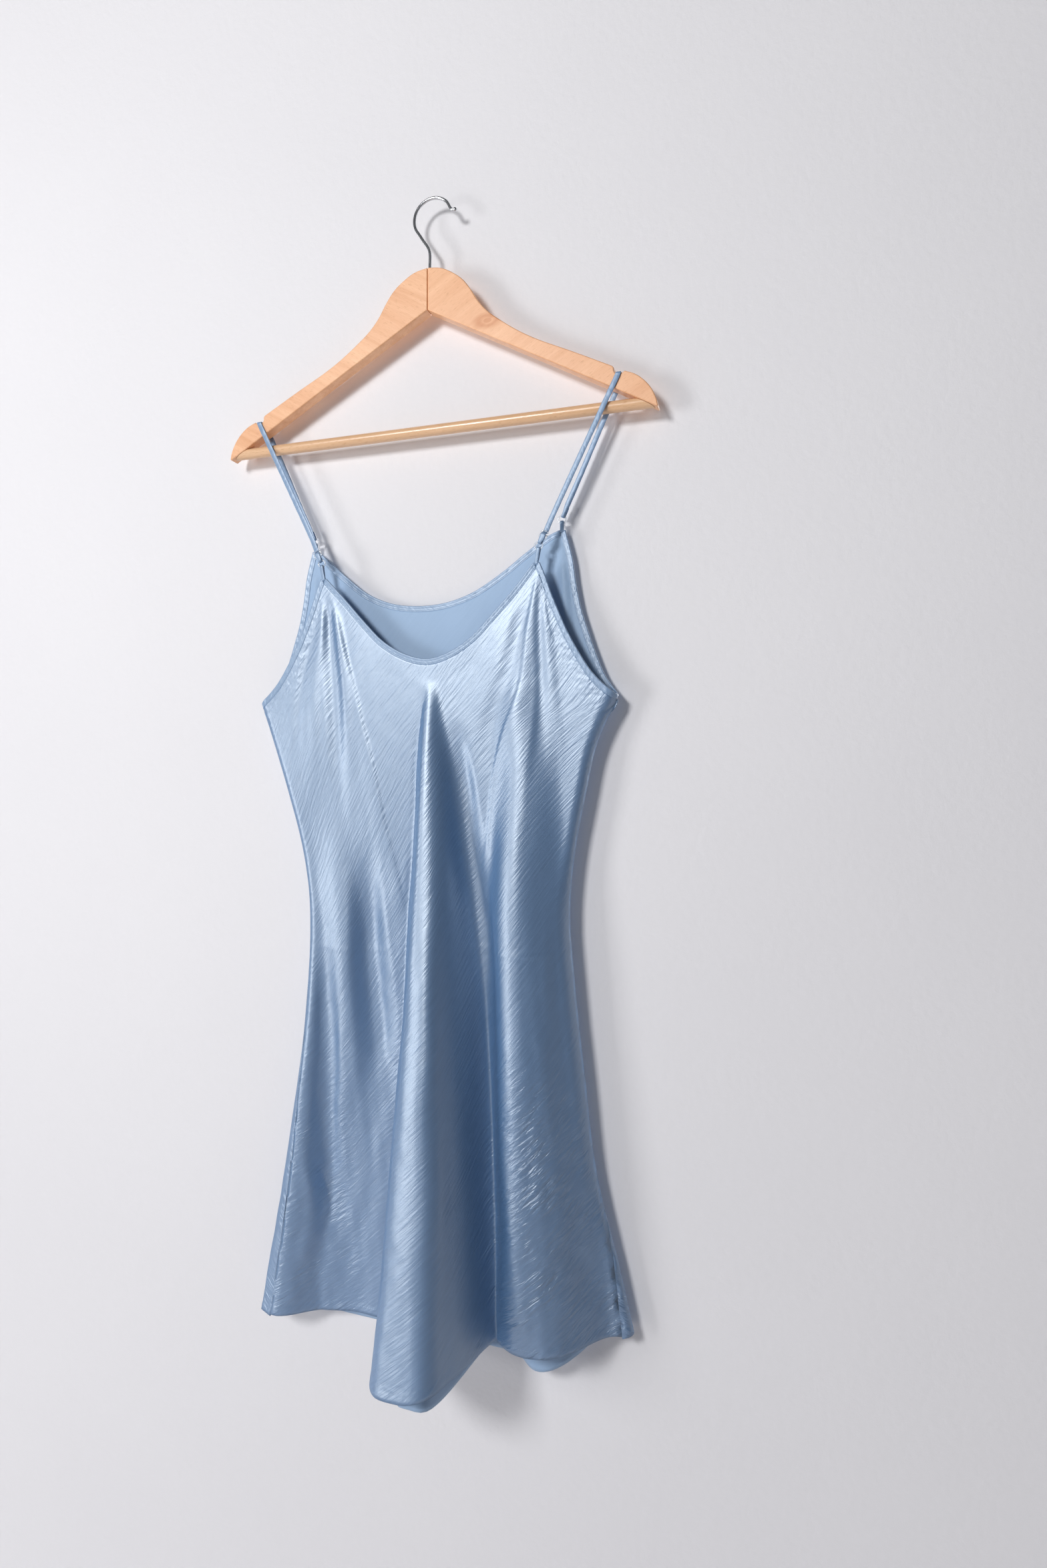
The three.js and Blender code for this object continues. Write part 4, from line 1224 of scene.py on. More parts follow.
@dataclass(frozen=True)
class MetalFinish:
    """A plated or plain wire, faintly uneven in gloss and tone."""

    name: str
    colour: Triple
    roughness: float
    dulled: float = 0.86  # the darkest tone against the full one
    smoother: float = 0.08
    swing: float = 0.22

    def build(self) -> Material:
        """Makes the material: its roughness is noise * swing + roughness - smoother.

        Returns:
            The material.
        """
        material, nodes, shader = new_material(self.name)
        worn = nodes.noise(nodes.add("ShaderNodeTexCoord").outputs["Object"], 300.0, 4.0)
        rough = nodes.math("ADD", nodes.math("MULTIPLY", worn, self.swing), self.roughness - self.smoother)
        tint = nodes.mix(worn, tuple(self.dulled * c for c in self.colour), self.colour)
        nodes.feed_all(shader, {"Roughness": rough, "Base Color": tint})
        shader.inputs["Metallic"].default_value = 1.0
        return material


@dataclass(frozen=True)
class ClearFinish:
    """Clear moulded plastic, a little hazy where it is scuffed."""

    name: str
    colour: Triple = (0.93, 0.96, 0.98)
    haze: float = 0.24
    clear: float = 0.85
    index: float = 1.49

    def build(self) -> Material:
        """Makes the material: its roughness is noise * haze.

        Returns:
            The material.
        """
        material, nodes, shader = new_material(self.name)
        scuffs = nodes.noise(nodes.add("ShaderNodeTexCoord").outputs["Object"], 900.0, 2.0)
        nodes.feed(shader.inputs["Roughness"], nodes.math("MULTIPLY", scuffs, self.haze))
        shader.inputs["Base Color"].default_value = (*self.colour, 1)
        shader.inputs["Transmission Weight"].default_value = self.clear
        shader.inputs["IOR"].default_value = self.index
        return material


class Finishes:
    """Every material of the dress and hanger."""

    def __init__(self) -> None:
        """Builds the node groups and the materials that use them."""
        cloth, wood = cloth_group(), wood_group()
        self.satin = ClothFinish(
            "satin_outside",
            (0.092, 0.205, 0.40),
            (0.038, 0.108, 0.24),
            roughness=0.45,
            sheen=0.0,
            bump=0.85,
            index=3.0,
            streak=0.15,
        ).build(cloth)
        inside = ((0.32, 0.46, 0.66), (0.26, 0.39, 0.58))
        self.inside = ClothFinish("satin_inside", *inside, 0.62, 0.2, 0.3, yarn=0.35).build(cloth)
        binding = ((0.26, 0.38, 0.56), (0.15, 0.24, 0.39))
        self.binding = ClothFinish("satin_binding", *binding, 0.40, 0.1, 0.5).build(cloth)
        strap = ((0.21, 0.32, 0.49), (0.13, 0.22, 0.37))
        self.strap = ClothFinish("satin_strap", *strap, 0.42, 0.1, 0.5).build(cloth)
        thread = ((0.45, 0.57, 0.72), (0.33, 0.45, 0.61))
        self.thread = ClothFinish("thread", *thread, 0.5, 0.2, 0.2).build(cloth)
        beech = ((0.95, 0.57, 0.335), (0.66, 0.285, 0.12))
        knot = (0.0614, -0.006, -0.1284)
        self.arms = {
            Side.LEFT: WoodFinish("beech_left", *beech, -31, 0.95).build(wood),
            Side.RIGHT: WoodFinish("beech_right", *beech, 31, 0.55, knot=knot).build(wood),
        }
        bar = ((0.86, 0.56, 0.34), (0.56, 0.31, 0.15))
        self.bar = WoodFinish("bar_wood", *bar, 0, 0.6, roughness=0.3, coat=0.4).build(wood)
        self.chrome = MetalFinish("hook_chrome", (0.62, 0.63, 0.65), 0.16).build()
        self.brad = MetalFinish("brad_steel", (0.5, 0.48, 0.45), 0.35).build()
        self.plastic = ClearFinish("clear_plastic").build()


# ---- Cloth pieces ----


@dataclass
class Panel:
    """The front or back of the dress: a thin wall from the hem to just under the bindings."""

    form: DressForm
    face: Face
    finishes: Finishes
    columns: int = 212
    rows: int = 214
    tucked: float = 4.6  # how far inside the edge the cloth ends, under its binding
    cloth: float = 0.8
    lowest: float = -1050  # of the level sections, 3 mm apart
    level_step: float = 3.0
    samples: int = 700
    turn_samples: int = 40
    crowding: float = 1.3  # how much closer columns stand at the underarms
    hem_fold: float = 8.0
    fold_gain: float = 0.7  # extra thickness of the folded-up hem
    stitch_dent: float = 0.5
    chest_drop: float = 6.0
    chest_blend: float = 12.0
    hem_passes: int = 5
    uv_row: int = 60  # the row whose length gives the cloth coordinates across
    wander: float = 1.6
    broad_swell: float = 0.5
    small_swell: float = 0.24
    calm_sides: float = 0.045  # shares of the width and height where the creases die out
    calm_top: float = 0.03

    def top_line(self) -> Array:
        """Where the columns end under the bindings, closer together at the underarms.

        Returns:
            (columns, 2) places, x and z.
        """
        inner = self.form.inner_line(self.face, self.tucked)
        lengths = {part: run_along(line)[-1] for part, line in inner.items()}
        arms = int(self.columns * lengths[Edge.LEFT] / sum(lengths.values()))
        even = np.linspace(0, 1, arms, endpoint=False)
        left = resample(inner[Edge.LEFT], even**self.crowding)
        right = resample(inner[Edge.RIGHT], 1 - even[::-1] ** self.crowding)
        neck = resample(inner[Edge.NECK], np.linspace(0, 1, self.columns - 2 * arms))
        return np.vstack([left, neck, right])

    def wrap_width(self, length: Array) -> Array:
        """How wide a length of cloth looks from the front once it is laid round the turn.

        Args:
            length: millimetres of cloth from the side.

        Returns:
            radius * (1 - cos(length / radius)) on the quarter turn, and the rest laid flat.
        """
        radius = self.form.turn_width
        quarter = radius * math.pi / 2
        return radius * (1 - np.cos(np.clip(length, 0, quarter) / radius)) + np.maximum(length - quarter, 0)

    def sections(self, levels: Array) -> Array:
        """Dense level sections of the panel from its left seam to its right seam.

        Args:
            levels: heights.

        Returns:
            (levels, samples, 2) X and Y.
        """
        form, z = self.form, levels[:, None]
        low, high = form.read(Column.LEFT, z), form.read(Column.RIGHT, z)
        wrap_left = self.wrap_width(form.read(Column.LEFT_WRAP, z))
        wrap_right = self.wrap_width(form.read(Column.RIGHT_WRAP, z))
        share = 0.5 - 0.5 * np.cos(math.pi * np.linspace(0, 1, self.samples))[None]
        if self.face is Face.FRONT:
            x = low + wrap_left + (high - wrap_right - low - wrap_left) * share
            return np.stack([x, form.depth(Face.FRONT, x, z)], axis=-1)
        turn = np.linspace(0, 1, self.turn_samples)[None]
        left = low + wrap_left * (1 - turn)
        middle = low + (high - low) * share
        right = high - wrap_right * turn
        runs = [(Face.FRONT, left), (Face.BACK, middle), (Face.FRONT, right)]
        laid = [np.stack([x, form.depth(face, x, z)], axis=-1) for face, x in runs]
        return np.concatenate(laid, axis=1)

    def surface(self) -> tuple[Array, Array]:
        """The mid-surface before creases.

        Each column keeps its share of the length of every level section below the chest and
        rises straight above it. A row lies at hem + v * (top - hem) of its column.

        Returns:
            (rows, columns, 3) places, and (columns,) shares across.
        """
        form = self.form
        tops = self.top_line()
        chest = form.underarm[1] - self.chest_drop
        levels = np.arange(self.lowest, chest + self.level_step, self.level_step)
        sections = self.sections(levels)
        steps = np.linalg.norm(np.diff(sections, axis=1), axis=-1)
        lengths = np.concatenate([np.zeros((len(levels), 1)), np.cumsum(steps, axis=1)], axis=1)
        shares = np.interp(tops[:, 0], sections[-1, :, 0], lengths[-1] / lengths[-1, -1])
        shares[0], shares[-1] = 0, 1
        placed = np.stack(
            [
                np.stack([np.interp(shares * run[-1], run, section[:, d]) for d in (0, 1)], axis=-1)
                for run, section in zip(lengths, sections)
            ]
        )
        column = np.arange(self.columns)[None]

        def at(z: Array) -> Array:
            """X and Y of every column, between the levels and straight above them.

            Args:
                z: (rows, columns) heights.

            Returns:
                (rows, columns, 2) places.
            """
            place = np.clip((z - levels[0]) / self.level_step, 0, len(levels) - 1.001)
            below = place.astype(int)
            part = (place - below)[..., None]
            found = placed[below, column] * (1 - part) + placed[below + 1, column] * part
            high_x = tops[:, 0][None] + 0 * z
            above = np.stack([high_x, form.depth(self.face, high_x, z)], axis=-1)
            blend = np.clip((z - chest + self.chest_blend) / self.chest_blend, 0, 1)[..., None]
            return found * (1 - blend) + above * blend

        hem_table = form.hems[self.face]
        hem = np.full((1, self.columns), HEM_LEVEL)
        for _ in range(self.hem_passes):
            hem = smooth_table(hem_table[:, 0], hem_table[:, 1], at(hem)[..., 0])
        v = np.linspace(0, 1, self.rows)[:, None]
        z = hem + v * (tops[:, 1][None] - hem)
        return np.concatenate([at(z), z[..., None]], axis=-1), shares

    def creased(self, middle: Array, outward: Array, shares: Array) -> Array:
        """Lays the listed creases and a slight unevenness onto the mid-surface.

        Args:
            middle: the mid-surface.
            outward: its directions out of the garment.
            shares: each column's share across.

        Returns:
            middle + outward * (creases + broad + small unevenness), calm at the sides and top.
        """
        x, z = middle[..., 0], middle[..., 2]
        creases = FRONT_CREASES if self.face is Face.FRONT else BACK_CREASES
        wander = SmoothNoise(11 + self.face.value, (70, 160))
        shifted = x + self.wander * wander.at(x, z)
        height = sum(crease.at(shifted, z) for crease in creases)
        broad = SmoothNoise(23 + self.face.value, (85, 210)).at(x, z)
        small = SmoothNoise(37 + self.face.value, (20, 34)).at(x, z)
        lower = np.clip((-560 - z) / 300, 0, 1)
        height = height + self.broad_swell * broad + self.small_swell * small * (0.2 + 0.8 * lower)
        edge = np.clip(np.minimum(shares, 1 - shares) / self.calm_sides, 0, 1)[None]
        top = np.clip(np.linspace(1, 0, self.rows) / self.calm_top, 0, 1)[:, None]
        return middle + outward * (height * edge * (0.2 + 0.8 * top))[..., None]

    def build(self) -> tuple[Piece, Array, Array]:
        """Makes the panel.

        Returns:
            The piece, its final mid-surface, and its outward directions.
        """
        middle, shares = self.surface()
        outward = self.directions(middle)
        middle = self.creased(middle, outward, shares)
        outward = self.directions(middle)
        above_hem = np.linalg.norm(middle - middle[:1], axis=-1)
        folded = np.clip((self.hem_fold - above_hem) / 0.8, 0, 1)
        stitched = np.exp(-(((above_hem - self.hem_fold + 1.2) / 0.7) ** 2))
        thickness = self.cloth + self.fold_gain * folded - self.stitch_dent * stitched
        points, faces, side = cloth_wall(middle, outward, thickness)
        across = run_along(middle[self.uv_row])
        uv = np.stack([np.broadcast_to(across[None], middle.shape[:2]), middle[..., 2]], axis=-1) * MM
        uv = np.vstack([uv.reshape(-1, 2)] * 2)
        name = f"{self.face.word}_panel"
        piece = new_piece(name, points, faces, [self.finishes.satin, self.finishes.inside], side, uv)
        add_mask(piece, "crumple", np.tile(self.crumpled(middle).ravel(), 2))
        add_mask(piece, "pucker", np.tile(self.puckered(middle, shares, above_hem).ravel(), 2))
        return register(piece, [f"dress_{self.face.word}"]), middle, outward

    def directions(self, middle: Array) -> Array:
        """Unit directions out of the garment at each grid point."""
        normal = np.cross(np.gradient(middle, axis=1), np.gradient(middle, axis=0))
        return unit(normal * -self.face.value)

    def crumpled(self, middle: Array) -> Array:
        """Where the cloth shows fine slanting wrinkles.

        Args:
            middle: the mid-surface.

        Returns:
            0 to 1: a little everywhere, and more low on the right, beside the fold and on the left.
        """
        x, z = middle[..., 0], middle[..., 2]
        right = np.clip((x - 60) / 20, 0, 1) * np.clip((-720 - z) / 120, 0, 1)
        fold = np.exp(-(((x + 24) / 13) ** 2)) * np.clip((-640 - z) / 160, 0, 1) * 0.7
        left = np.clip((-60 - x) / 30, 0, 1) * np.clip((-700 - z) / 200, 0, 1) * 0.5
        return np.clip(0.05 + right + fold + left, 0, 1)

    def puckered(self, middle: Array, shares: Array, above_hem: Array) -> Array:
        """Where sewing gathers the cloth a little.

        Args:
            middle: the mid-surface.
            shares: each column's share across.
            above_hem: each point's distance from the hem.

        Returns:
            0 to 0.7: bell curves along the side seams, the hem's stitches and the armholes.
        """
        seam = np.exp(-((np.minimum(shares, 1 - shares) / 0.022) ** 2))[None]
        hem = np.exp(-(((above_hem - self.hem_fold) / 5) ** 2))
        top = np.linspace(1, 0, self.rows)[:, None]
        arm = np.clip((np.abs(middle[..., 0]) - 108) / 10, 0, 1) * np.exp(-((top / 0.05) ** 2))
        return np.clip(seam * (middle[..., 2] < -430) + 0.8 * hem + arm, 0, 1) * 0.7


@dataclass
class Binding:
    """Folded strips sewn over the neck and armhole edges, with their stitching."""

    form: DressForm
    finishes: Finishes
    width: float = 6.0
    thickness: float = 1.8
    stitch_inset: float = 4.9
    stitch_rise: float = 0.62  # against half the thickness
    ripple: float = 0.12
    steps: int = 170
    seam_gap: float = 0.3

    def profile(self) -> Array:
        """Section of the strip: a rolled outer edge, a flat middle and a groove at the stitches.

        Returns:
            (n, 2): the share from the garment's edge to the inner edge, and millimetres outwards.
        """
        s = np.linspace(0, 1, 15)
        half = self.thickness / 2 * np.sqrt(np.clip(1 - (1 - np.minimum(s / 0.16, 1)) ** 2, 0, 1))
        half = half * (1 - 0.22 * np.clip((s - 0.2) / 0.3, 0, 1))
        half = half * (1 - 0.35 * np.exp(-(((s - self.stitch_inset / self.width) / 0.05) ** 2)))
        half = half * np.sqrt(np.clip((1 - s) / 0.05, 0, 1))
        top = np.stack([s, half], axis=-1)
        bottom = np.stack([s[1:-1], -half[1:-1]], axis=-1)[::-1]
        return np.vstack([top, bottom])[::-1]

    def stations(self, face: Face, part: Edge) -> tuple[Array, Array, Array]:
        """Edge points, inner points and outward directions of one stretch, on the panel.

        Args:
            face: the panel.
            part: which stretch.

        Returns:
            Three (n, 3) arrays, from left to right.
        """
        form = self.form
        inner = form.inner_line(face, self.width)[part]
        outer = form.edge(face, part)
        shares = np.linspace(0, 1, self.steps)
        inner, outer = resample(inner, shares), resample(outer, shares)
        tip_x, tip_z = form.tips[face]
        gap = self.seam_gap / 2

        def tip(sign: float, towards: float, apex: Array) -> tuple[Array, Array]:
            """The station on the middle line of a tip."""
            return np.array([sign * tip_x + towards * gap, tip_z]), apex + np.array([towards * gap, 0])

        ends = {
            Edge.LEFT: (None, (-1, -1)),
            Edge.NECK: ((-1, 1), (1, -1)),
            Edge.RIGHT: ((1, 1), None),
        }[part]
        if ends[0]:
            edge, apex = tip(*ends[0], inner[0])
            outer, inner = np.vstack([edge, outer]), np.vstack([apex, inner])
        if ends[1]:
            edge, apex = tip(*ends[1], inner[-1])
            outer, inner = np.vstack([outer, edge]), np.vstack([inner, apex])
        outward = form.outward(face, (outer + inner) / 2)
        return form.lift(face, outer), form.lift(face, inner), outward

    def strip(self, name: str, outer: Array, inner: Array, outward: Array) -> tuple[Piece, tuple]:
        """A strip between two lines, and the line of its stitches.

        Args:
            name: its name, which is also its node's.
            outer: (n, 3) garment edge.
            inner: (n, 3) inner edge.
            outward: (n, 3) directions out of the garment.

        Returns:
            The piece, and (n, 3) places and directions for the stitches.
        """
        run = run_along(inner)
        ripple = 1 + self.ripple * SmoothNoise(len(name), (9, 9)).at(run, 0 * run)
        profile = np.broadcast_to(self.profile(), (len(outer), *self.profile().shape)).copy()
        profile[..., 1] *= ripple[:, None]
        points, faces = sweep(outer, inner - outer, outward, profile)
        sides = profile.shape[1]
        over = (profile[..., 0] * self.width + profile[..., 1]).ravel()
        uv = np.stack([np.repeat(run, sides), over], axis=-1) * MM
        piece = new_piece(f"{name}_cloth", points, faces, [self.finishes.binding], uv=uv)
        add_even_masks(piece, 0.55, 0.0)
        share = self.stitch_inset / self.width
        line = outer + (inner - outer) * share + outward * (self.thickness / 2 * self.stitch_rise)
        return register(piece, [name]), (line, outward)

    def build(self) -> tuple[dict[Face, list[Piece]], list[tuple[Array, Array]]]:
        """Makes the two neck bindings and the two armhole bindings.

        Returns:
            The pieces by the panel that carries them, and the stitch lines.
        """
        carried: dict[Face, list] = {Face.FRONT: [], Face.BACK: []}
        lines = []
        for face in Face:
            piece, line = self.strip(f"neck_binding_{face.word}", *self.stations(face, Edge.NECK))
            carried[face].append(piece)
            lines.append(line)
        for side in Side:
            halves = []
            for face in Face:
                stations = self.stations(face, Edge[side.name])
                halves.append(stations if side is Side.RIGHT else tuple(a[::-1] for a in stations))
            front, back = halves
            whole = [np.vstack([a[:-1], b[::-1]]) for a, b in zip(front, back)]
            piece, line = self.strip(f"armhole_binding_{side.word}", *whole)
            carried[Face.FRONT].append(piece)
            lines.append(line)
        return carried, lines


@dataclass
class Stitching:
    """Rows of short threads, each a slim spindle lying on the cloth."""

    finishes: Finishes
    pitch: float = 2.4
    length: float = 1.7
    radius: float = 0.16

    def row(self, line: Array, outward: Array) -> tuple[Array, Array]:
        """One row of threads along a line.

        Args:
            line: (n, 3) places.
            outward: (n, 3) directions out of the cloth.

        Returns:
            Vertices, and (m, 4) faces.
        """
        run = run_along(line)
        at = np.arange(self.pitch, run[-1] - self.pitch, self.pitch)
        centre = np.stack([np.interp(at, run, line[:, d]) for d in range(3)], axis=-1)
        normal = unit(np.stack([np.interp(at, run, outward[:, d]) for d in range(3)], axis=-1))
        along = unit(np.stack([np.interp(at, run, np.gradient(line[:, d])) for d in range(3)], axis=-1))
        side = unit(np.cross(normal, along))
        ring = [(1, 0), (0, 1), (-1, 0), (0, -1)]
        stations = ((-0.5, 0.25, -0.6), (-0.3, 1, 0.1), (0.3, 1, 0.1), (0.5, 0.25, -0.6))
        points = np.stack(
            [
                centre
                + along * (share * self.length)
                + normal * (self.radius * (rise + size * b))
                + side * (self.radius * size * a)
                for share, size, rise in stations
                for a, b in ring
            ],
            axis=1,
        )
        body = grid_quads(4, 4, ring=True)
        faces = np.vstack([body, [[3, 2, 1, 0]], [[12, 13, 14, 15]]])
        starts = np.arange(len(centre))[:, None, None] * 16
        return points.reshape(-1, 3), (faces[None] + starts).reshape(-1, 4)

    def build(self, name: str, lines: Sequence[tuple[Array, Array]]) -> Piece:
        """Joins the rows into one piece.

        Args:
            name: its name.
            lines: the rows' places and directions.

        Returns:
            The piece.
        """
        points, faces = joined([self.row(*line) for line in lines])
        uv = points[:, [0, 2]] * MM
        piece = new_piece(name, points, faces, [self.finishes.thread], uv=uv)
        return register(piece)


@dataclass
class StrapFittings:
    """One shoulder strap with its slider, rings and loops."""

    form: DressForm
    finishes: Finishes
    side: Side
    width: float = 5.0
    pinch: float = 3.6
    wall: float = 1.0
    gap: float = 0.3
    notch_x: float = 186.5
    notch_floor: float = -127.3
    arm_half: float = 6.0
    slider_at: Point = (117.5, -268.0)
    front_ring: Point = (112.6, -277.5)
    back_ring: Point = (130.2, -250.0)
    ring_radius: float = 3.7
    ring_wire: float = 0.65
    front_lean: float = 26.0
    back_lean: float = 24.0
    strap_points: int = 420
    ring_sides: int = 48
    wire_sides: int = 12

    def depth_at(self, face: Face) -> float:
        """Y of a panel's tip, where its ring hangs."""
        x, z = self.form.tips[face]
        return float(self.form.depth(face, np.array([x]), np.array([z]))[0])

    def beside(
        self, centre: Point, lean: float, along: float, y: float, width: float
    ) -> tuple[float, ...]:
        """A station some way up the strap from a fitting: x, y, z, lean in degrees, width."""
        angle = math.radians(lean)
        return centre[0] + along * math.sin(angle), y, centre[1] + along * math.cos(angle), lean, width

    def stations(self) -> list[tuple[float, ...]]:
        """The strap's route on the right side: round the back ring, up the back, over the notch,
        down the front, through the slider, round the front ring and back up to the slider.

        Returns:
            x, y, z, lean in degrees and width of each station.
        """
        half = self.wall / 2 + self.gap
        wrap = self.ring_wire + half
        sag = self.ring_radius - math.sqrt(self.ring_radius**2 - (self.pinch / 2) ** 2)

        def round_ring(ring: Point, lean: float, y: float, sign: float) -> list[tuple[float, ...]]:
            """Stations under the top wire of a ring.

            Args:
                ring: its centre.
                lean: the strap's lean in degrees.
                y: the ring's Y.
                sign: 1 for a turn from front to back, or -1.

            Returns:
                Seven stations.
            """
            made = []
            for angle in np.linspace(0, math.pi, 7):
                along = self.ring_radius - sag - wrap * math.sin(angle)
                wrapped_y = y - sign * wrap * math.cos(angle)
                made.append(self.beside(ring, lean, along, wrapped_y, self.pinch))
            return made

        back, front = self.depth_at(Face.BACK), self.depth_at(Face.FRONT)
        route = [self.beside(self.back_ring, self.back_lean, 12, back + wrap, self.pinch)]
        route += [self.beside(self.back_ring, self.back_lean, 7, back + wrap, self.pinch)]
        route += round_ring(self.back_ring, self.back_lean, back, 1)[::-1]
        route += [self.beside(self.back_ring, self.back_lean, 7, back - wrap, self.pinch)]
        route += [self.beside(self.back_ring, self.back_lean, 13, back - wrap, self.width)]
        legs = ((145, 7.1, -218, 24), (165, 7.1, -174, 24), (178.5, 7.0, -145, 23), (185.5, 6.9, -130, 8))
        route += [(*leg, self.width) for leg in legs]
        for sign in (1, -1):
            for angle in (0, 45, 90) if sign > 0 else (90, 45, 0):
                turn = math.radians(angle)
                y = sign * (self.arm_half + half * math.cos(turn))
                route.append((self.notch_x, y, self.notch_floor + half * math.sin(turn), 0, self.width))
        legs = ((185.5, -6.9, -130, 8), (179.5, -7.0, -142, 24), (169.5, -7.2, -162, 26))
        legs += ((146, -7.3, -209, 26), (124, -7.3, -253.5, 26))
        route += [(*leg, self.width) for leg in legs]
        weave = ((4.6, 1.5), (3.1, 1.5), (0.5, -1.5), (-4.0, -1.5))
        route += [self.beside(self.slider_at, self.front_lean, a, front + y, self.width) for a, y in weave]
        route += round_ring(self.front_ring, self.front_lean, front, 1)
        route.append(self.beside(self.slider_at, self.front_lean, -0.3, front + 1.5, self.pinch))
        return route

    def strap(self) -> Piece:
        """The strap: a flat turned tube of satin with soft edges and a faint twist.

        Returns:
            The piece.
        """
        route = np.array(self.stations())
        x, y, z, lean, width = curve_through(route, self.strap_points).T
        path = np.stack([self.side.value * x, y, z], axis=-1)
        angle = np.radians(lean)
        across = np.stack([self.side.value * np.cos(angle), 0 * angle, -np.sin(angle)], axis=-1)
        along = unit(np.gradient(path, axis=0))
        across = unit(across - along * np.sum(across * along, axis=1, keepdims=True))
        outward = np.cross(along, across)
        run = run_along(path)
        ripple = SmoothNoise(5 + self.side.value, (11, 11)).at(run, 0 * run)
        base = band_profile(-0.5, 0.5, 0.2, 5)
        profile = np.stack(
            [
                base[None, :, 0] * (width * (1 + 0.03 * ripple))[:, None],
                base[None, :, 1] * 5 * self.wall * (1 + 0.10 * ripple)[:, None],
            ],
            axis=-1,
        )
        crown = 1 - 0.35 * (2 * base[:, 0]) ** 2
        profile[..., 1] *= crown[None]
        points, faces = sweep(path, across, outward, profile)
        sides = len(base)
        uv = np.stack([np.repeat(run, sides), profile[..., 0].ravel() + 20], axis=-1) * MM
        name = f"strap_{self.side.word}"
        piece = new_piece(f"{name}_satin", points, faces, [self.finishes.strap], uv=uv)
        add_even_masks(piece, 0.35, 0.1)
        return register(piece, [name])

    def ring(self, face: Face, at: Point) -> Piece:
        """A moulded ring round a strap or loop end.

        Args:
            face: the panel that it hangs from.
            at: its centre's x and z on the right side.

        Returns:
            The piece.
        """
        angle = np.linspace(0, 2 * math.pi, self.ring_sides + 1)
        out = np.stack([np.cos(angle), 0 * angle, np.sin(angle)], axis=-1)
        centre = np.array([self.side.value * at[0], self.depth_at(face), at[1]])
        profile = round_profile(self.ring_wire, self.wire_sides)
        points = (centre + out * self.ring_radius)[:, None] + out[:, None] * profile[None, :, :1]
        points = (points + AWAY * profile[None, :, 1:])[:-1].reshape(-1, 3)
        quads = grid_quads(self.ring_sides + 1, self.wire_sides, ring=True) % len(points)
        name = f"strap_ring_{face.word}_{self.side.word}"
        piece = new_piece(f"{name}_moulded", points, quads[:, ::-1], [self.finishes.plastic])
        outward_faces(piece)
        return register(piece, [name])

    def slider(self) -> Piece:
        """The figure-of-eight slider: a rounded frame with a middle bar.

        Returns:
            The piece.
        """
        half_width, half_length, bar = 3.65, 3.6, 0.45
        corner = 1.4
        angles = np.linspace(0, math.pi / 2, 6)
        frame_line = []
        for quarter, (sx, sz) in enumerate(((1, 1), (-1, 1), (-1, -1), (1, -1))):
            turn = angles + quarter * math.pi / 2
            cx, cz = sx * (half_width - corner), sz * (half_length - corner)
            frame_line += [(cx + corner * math.cos(t), cz + corner * math.sin(t)) for t in turn]
        loop = np.array([*frame_line, frame_line[0]])
        profile = round_profile(bar, 10)
        along = unit(np.gradient(loop, axis=0))
        along[0] = along[-1] = unit(loop[1] - loop[-2])
        out = np.stack([along[:, 1], -along[:, 0]], axis=-1)
        ring = loop[:, None] + out[:, None] * profile[None, :, :1]
        y = np.broadcast_to(profile[None, :, 1] * 0.95, ring.shape[:2])
        frame_points = np.stack([ring[..., 0], y, ring[..., 1]], axis=-1)[:-1].reshape(-1, 3)
        frame_faces = grid_quads(len(loop), 10, ring=True) % (10 * (len(loop) - 1))
        ends = np.array([[-half_width, 0, 0], [half_width, 0, 0]])
        middle = sweep(ends, AWAY, UP, profile * 0.9)
        points, faces = joined([(frame_points, frame_faces), middle])
        lean = math.radians(self.front_lean)
        x = points[:, 0] * math.cos(lean) + points[:, 2] * math.sin(lean)
        z = -points[:, 0] * math.sin(lean) + points[:, 2] * math.cos(lean)
        x = self.side.value * (x + self.slider_at[0])
        y = points[:, 1] + self.depth_at(Face.FRONT)
        points = np.stack([x, y, z + self.slider_at[1]], axis=-1)
        name = f"strap_slider_{self.side.word}"
        piece = new_piece(f"{name}_moulded", points, faces, [self.finishes.plastic])
        outward_faces(piece)
        return register(piece, [name])

    def loop(self, face: Face, ring: Point) -> Piece:
        """A small folded loop from a panel's tip round the bottom wire of its ring.

        Args:
            face: the panel.
            ring: the ring's centre.

        Returns:
            The piece.
        """
        tip_x, tip_z = self.form.tips[face]
        wire_z = ring[1] - self.ring_radius
        reach, closed, rise, buried = self.ring_wire + self.gap + 0.5, 0.55, 0.6, 2.0
        foot = np.linspace(tip_z - buried, wire_z, 10)[:-1]
        spread = closed + (reach - closed) * np.clip((foot - tip_z) / (wire_z - tip_z), 0, 1)
        arch = np.linspace(0, math.pi, 14)
        path_y = np.concatenate([spread, reach * np.cos(arch), -spread[::-1]])
        path_z = np.concatenate([foot, wire_z + rise + reach * np.sin(arch), foot[::-1]])
        lean = np.clip((path_z - tip_z) / (wire_z - tip_z), 0, 1)
        x = self.side.value * (tip_x + (ring[0] - tip_x) * lean)
        path = np.stack([x, path_y + self.depth_at(face), path_z], axis=-1)
        along = unit(np.gradient(path, axis=0))
        across = np.broadcast_to(np.array([1.0, 0, 0]), path.shape)
        across = unit(across - along * np.sum(across * along, axis=1, keepdims=True))
        tape = band_profile(-1.8, 1.8, 0.95, 5)
        points, faces = sweep(path, across, np.cross(along, across), tape)
        name = f"strap_loop_{face.word}_{self.side.word}"
        uv = points[:, [0, 2]] * MM
        piece = new_piece(f"{name}_satin", points, faces, [self.finishes.strap], uv=uv)
        add_even_masks(piece, 0.5, 0.0)
        return register(piece, [name])

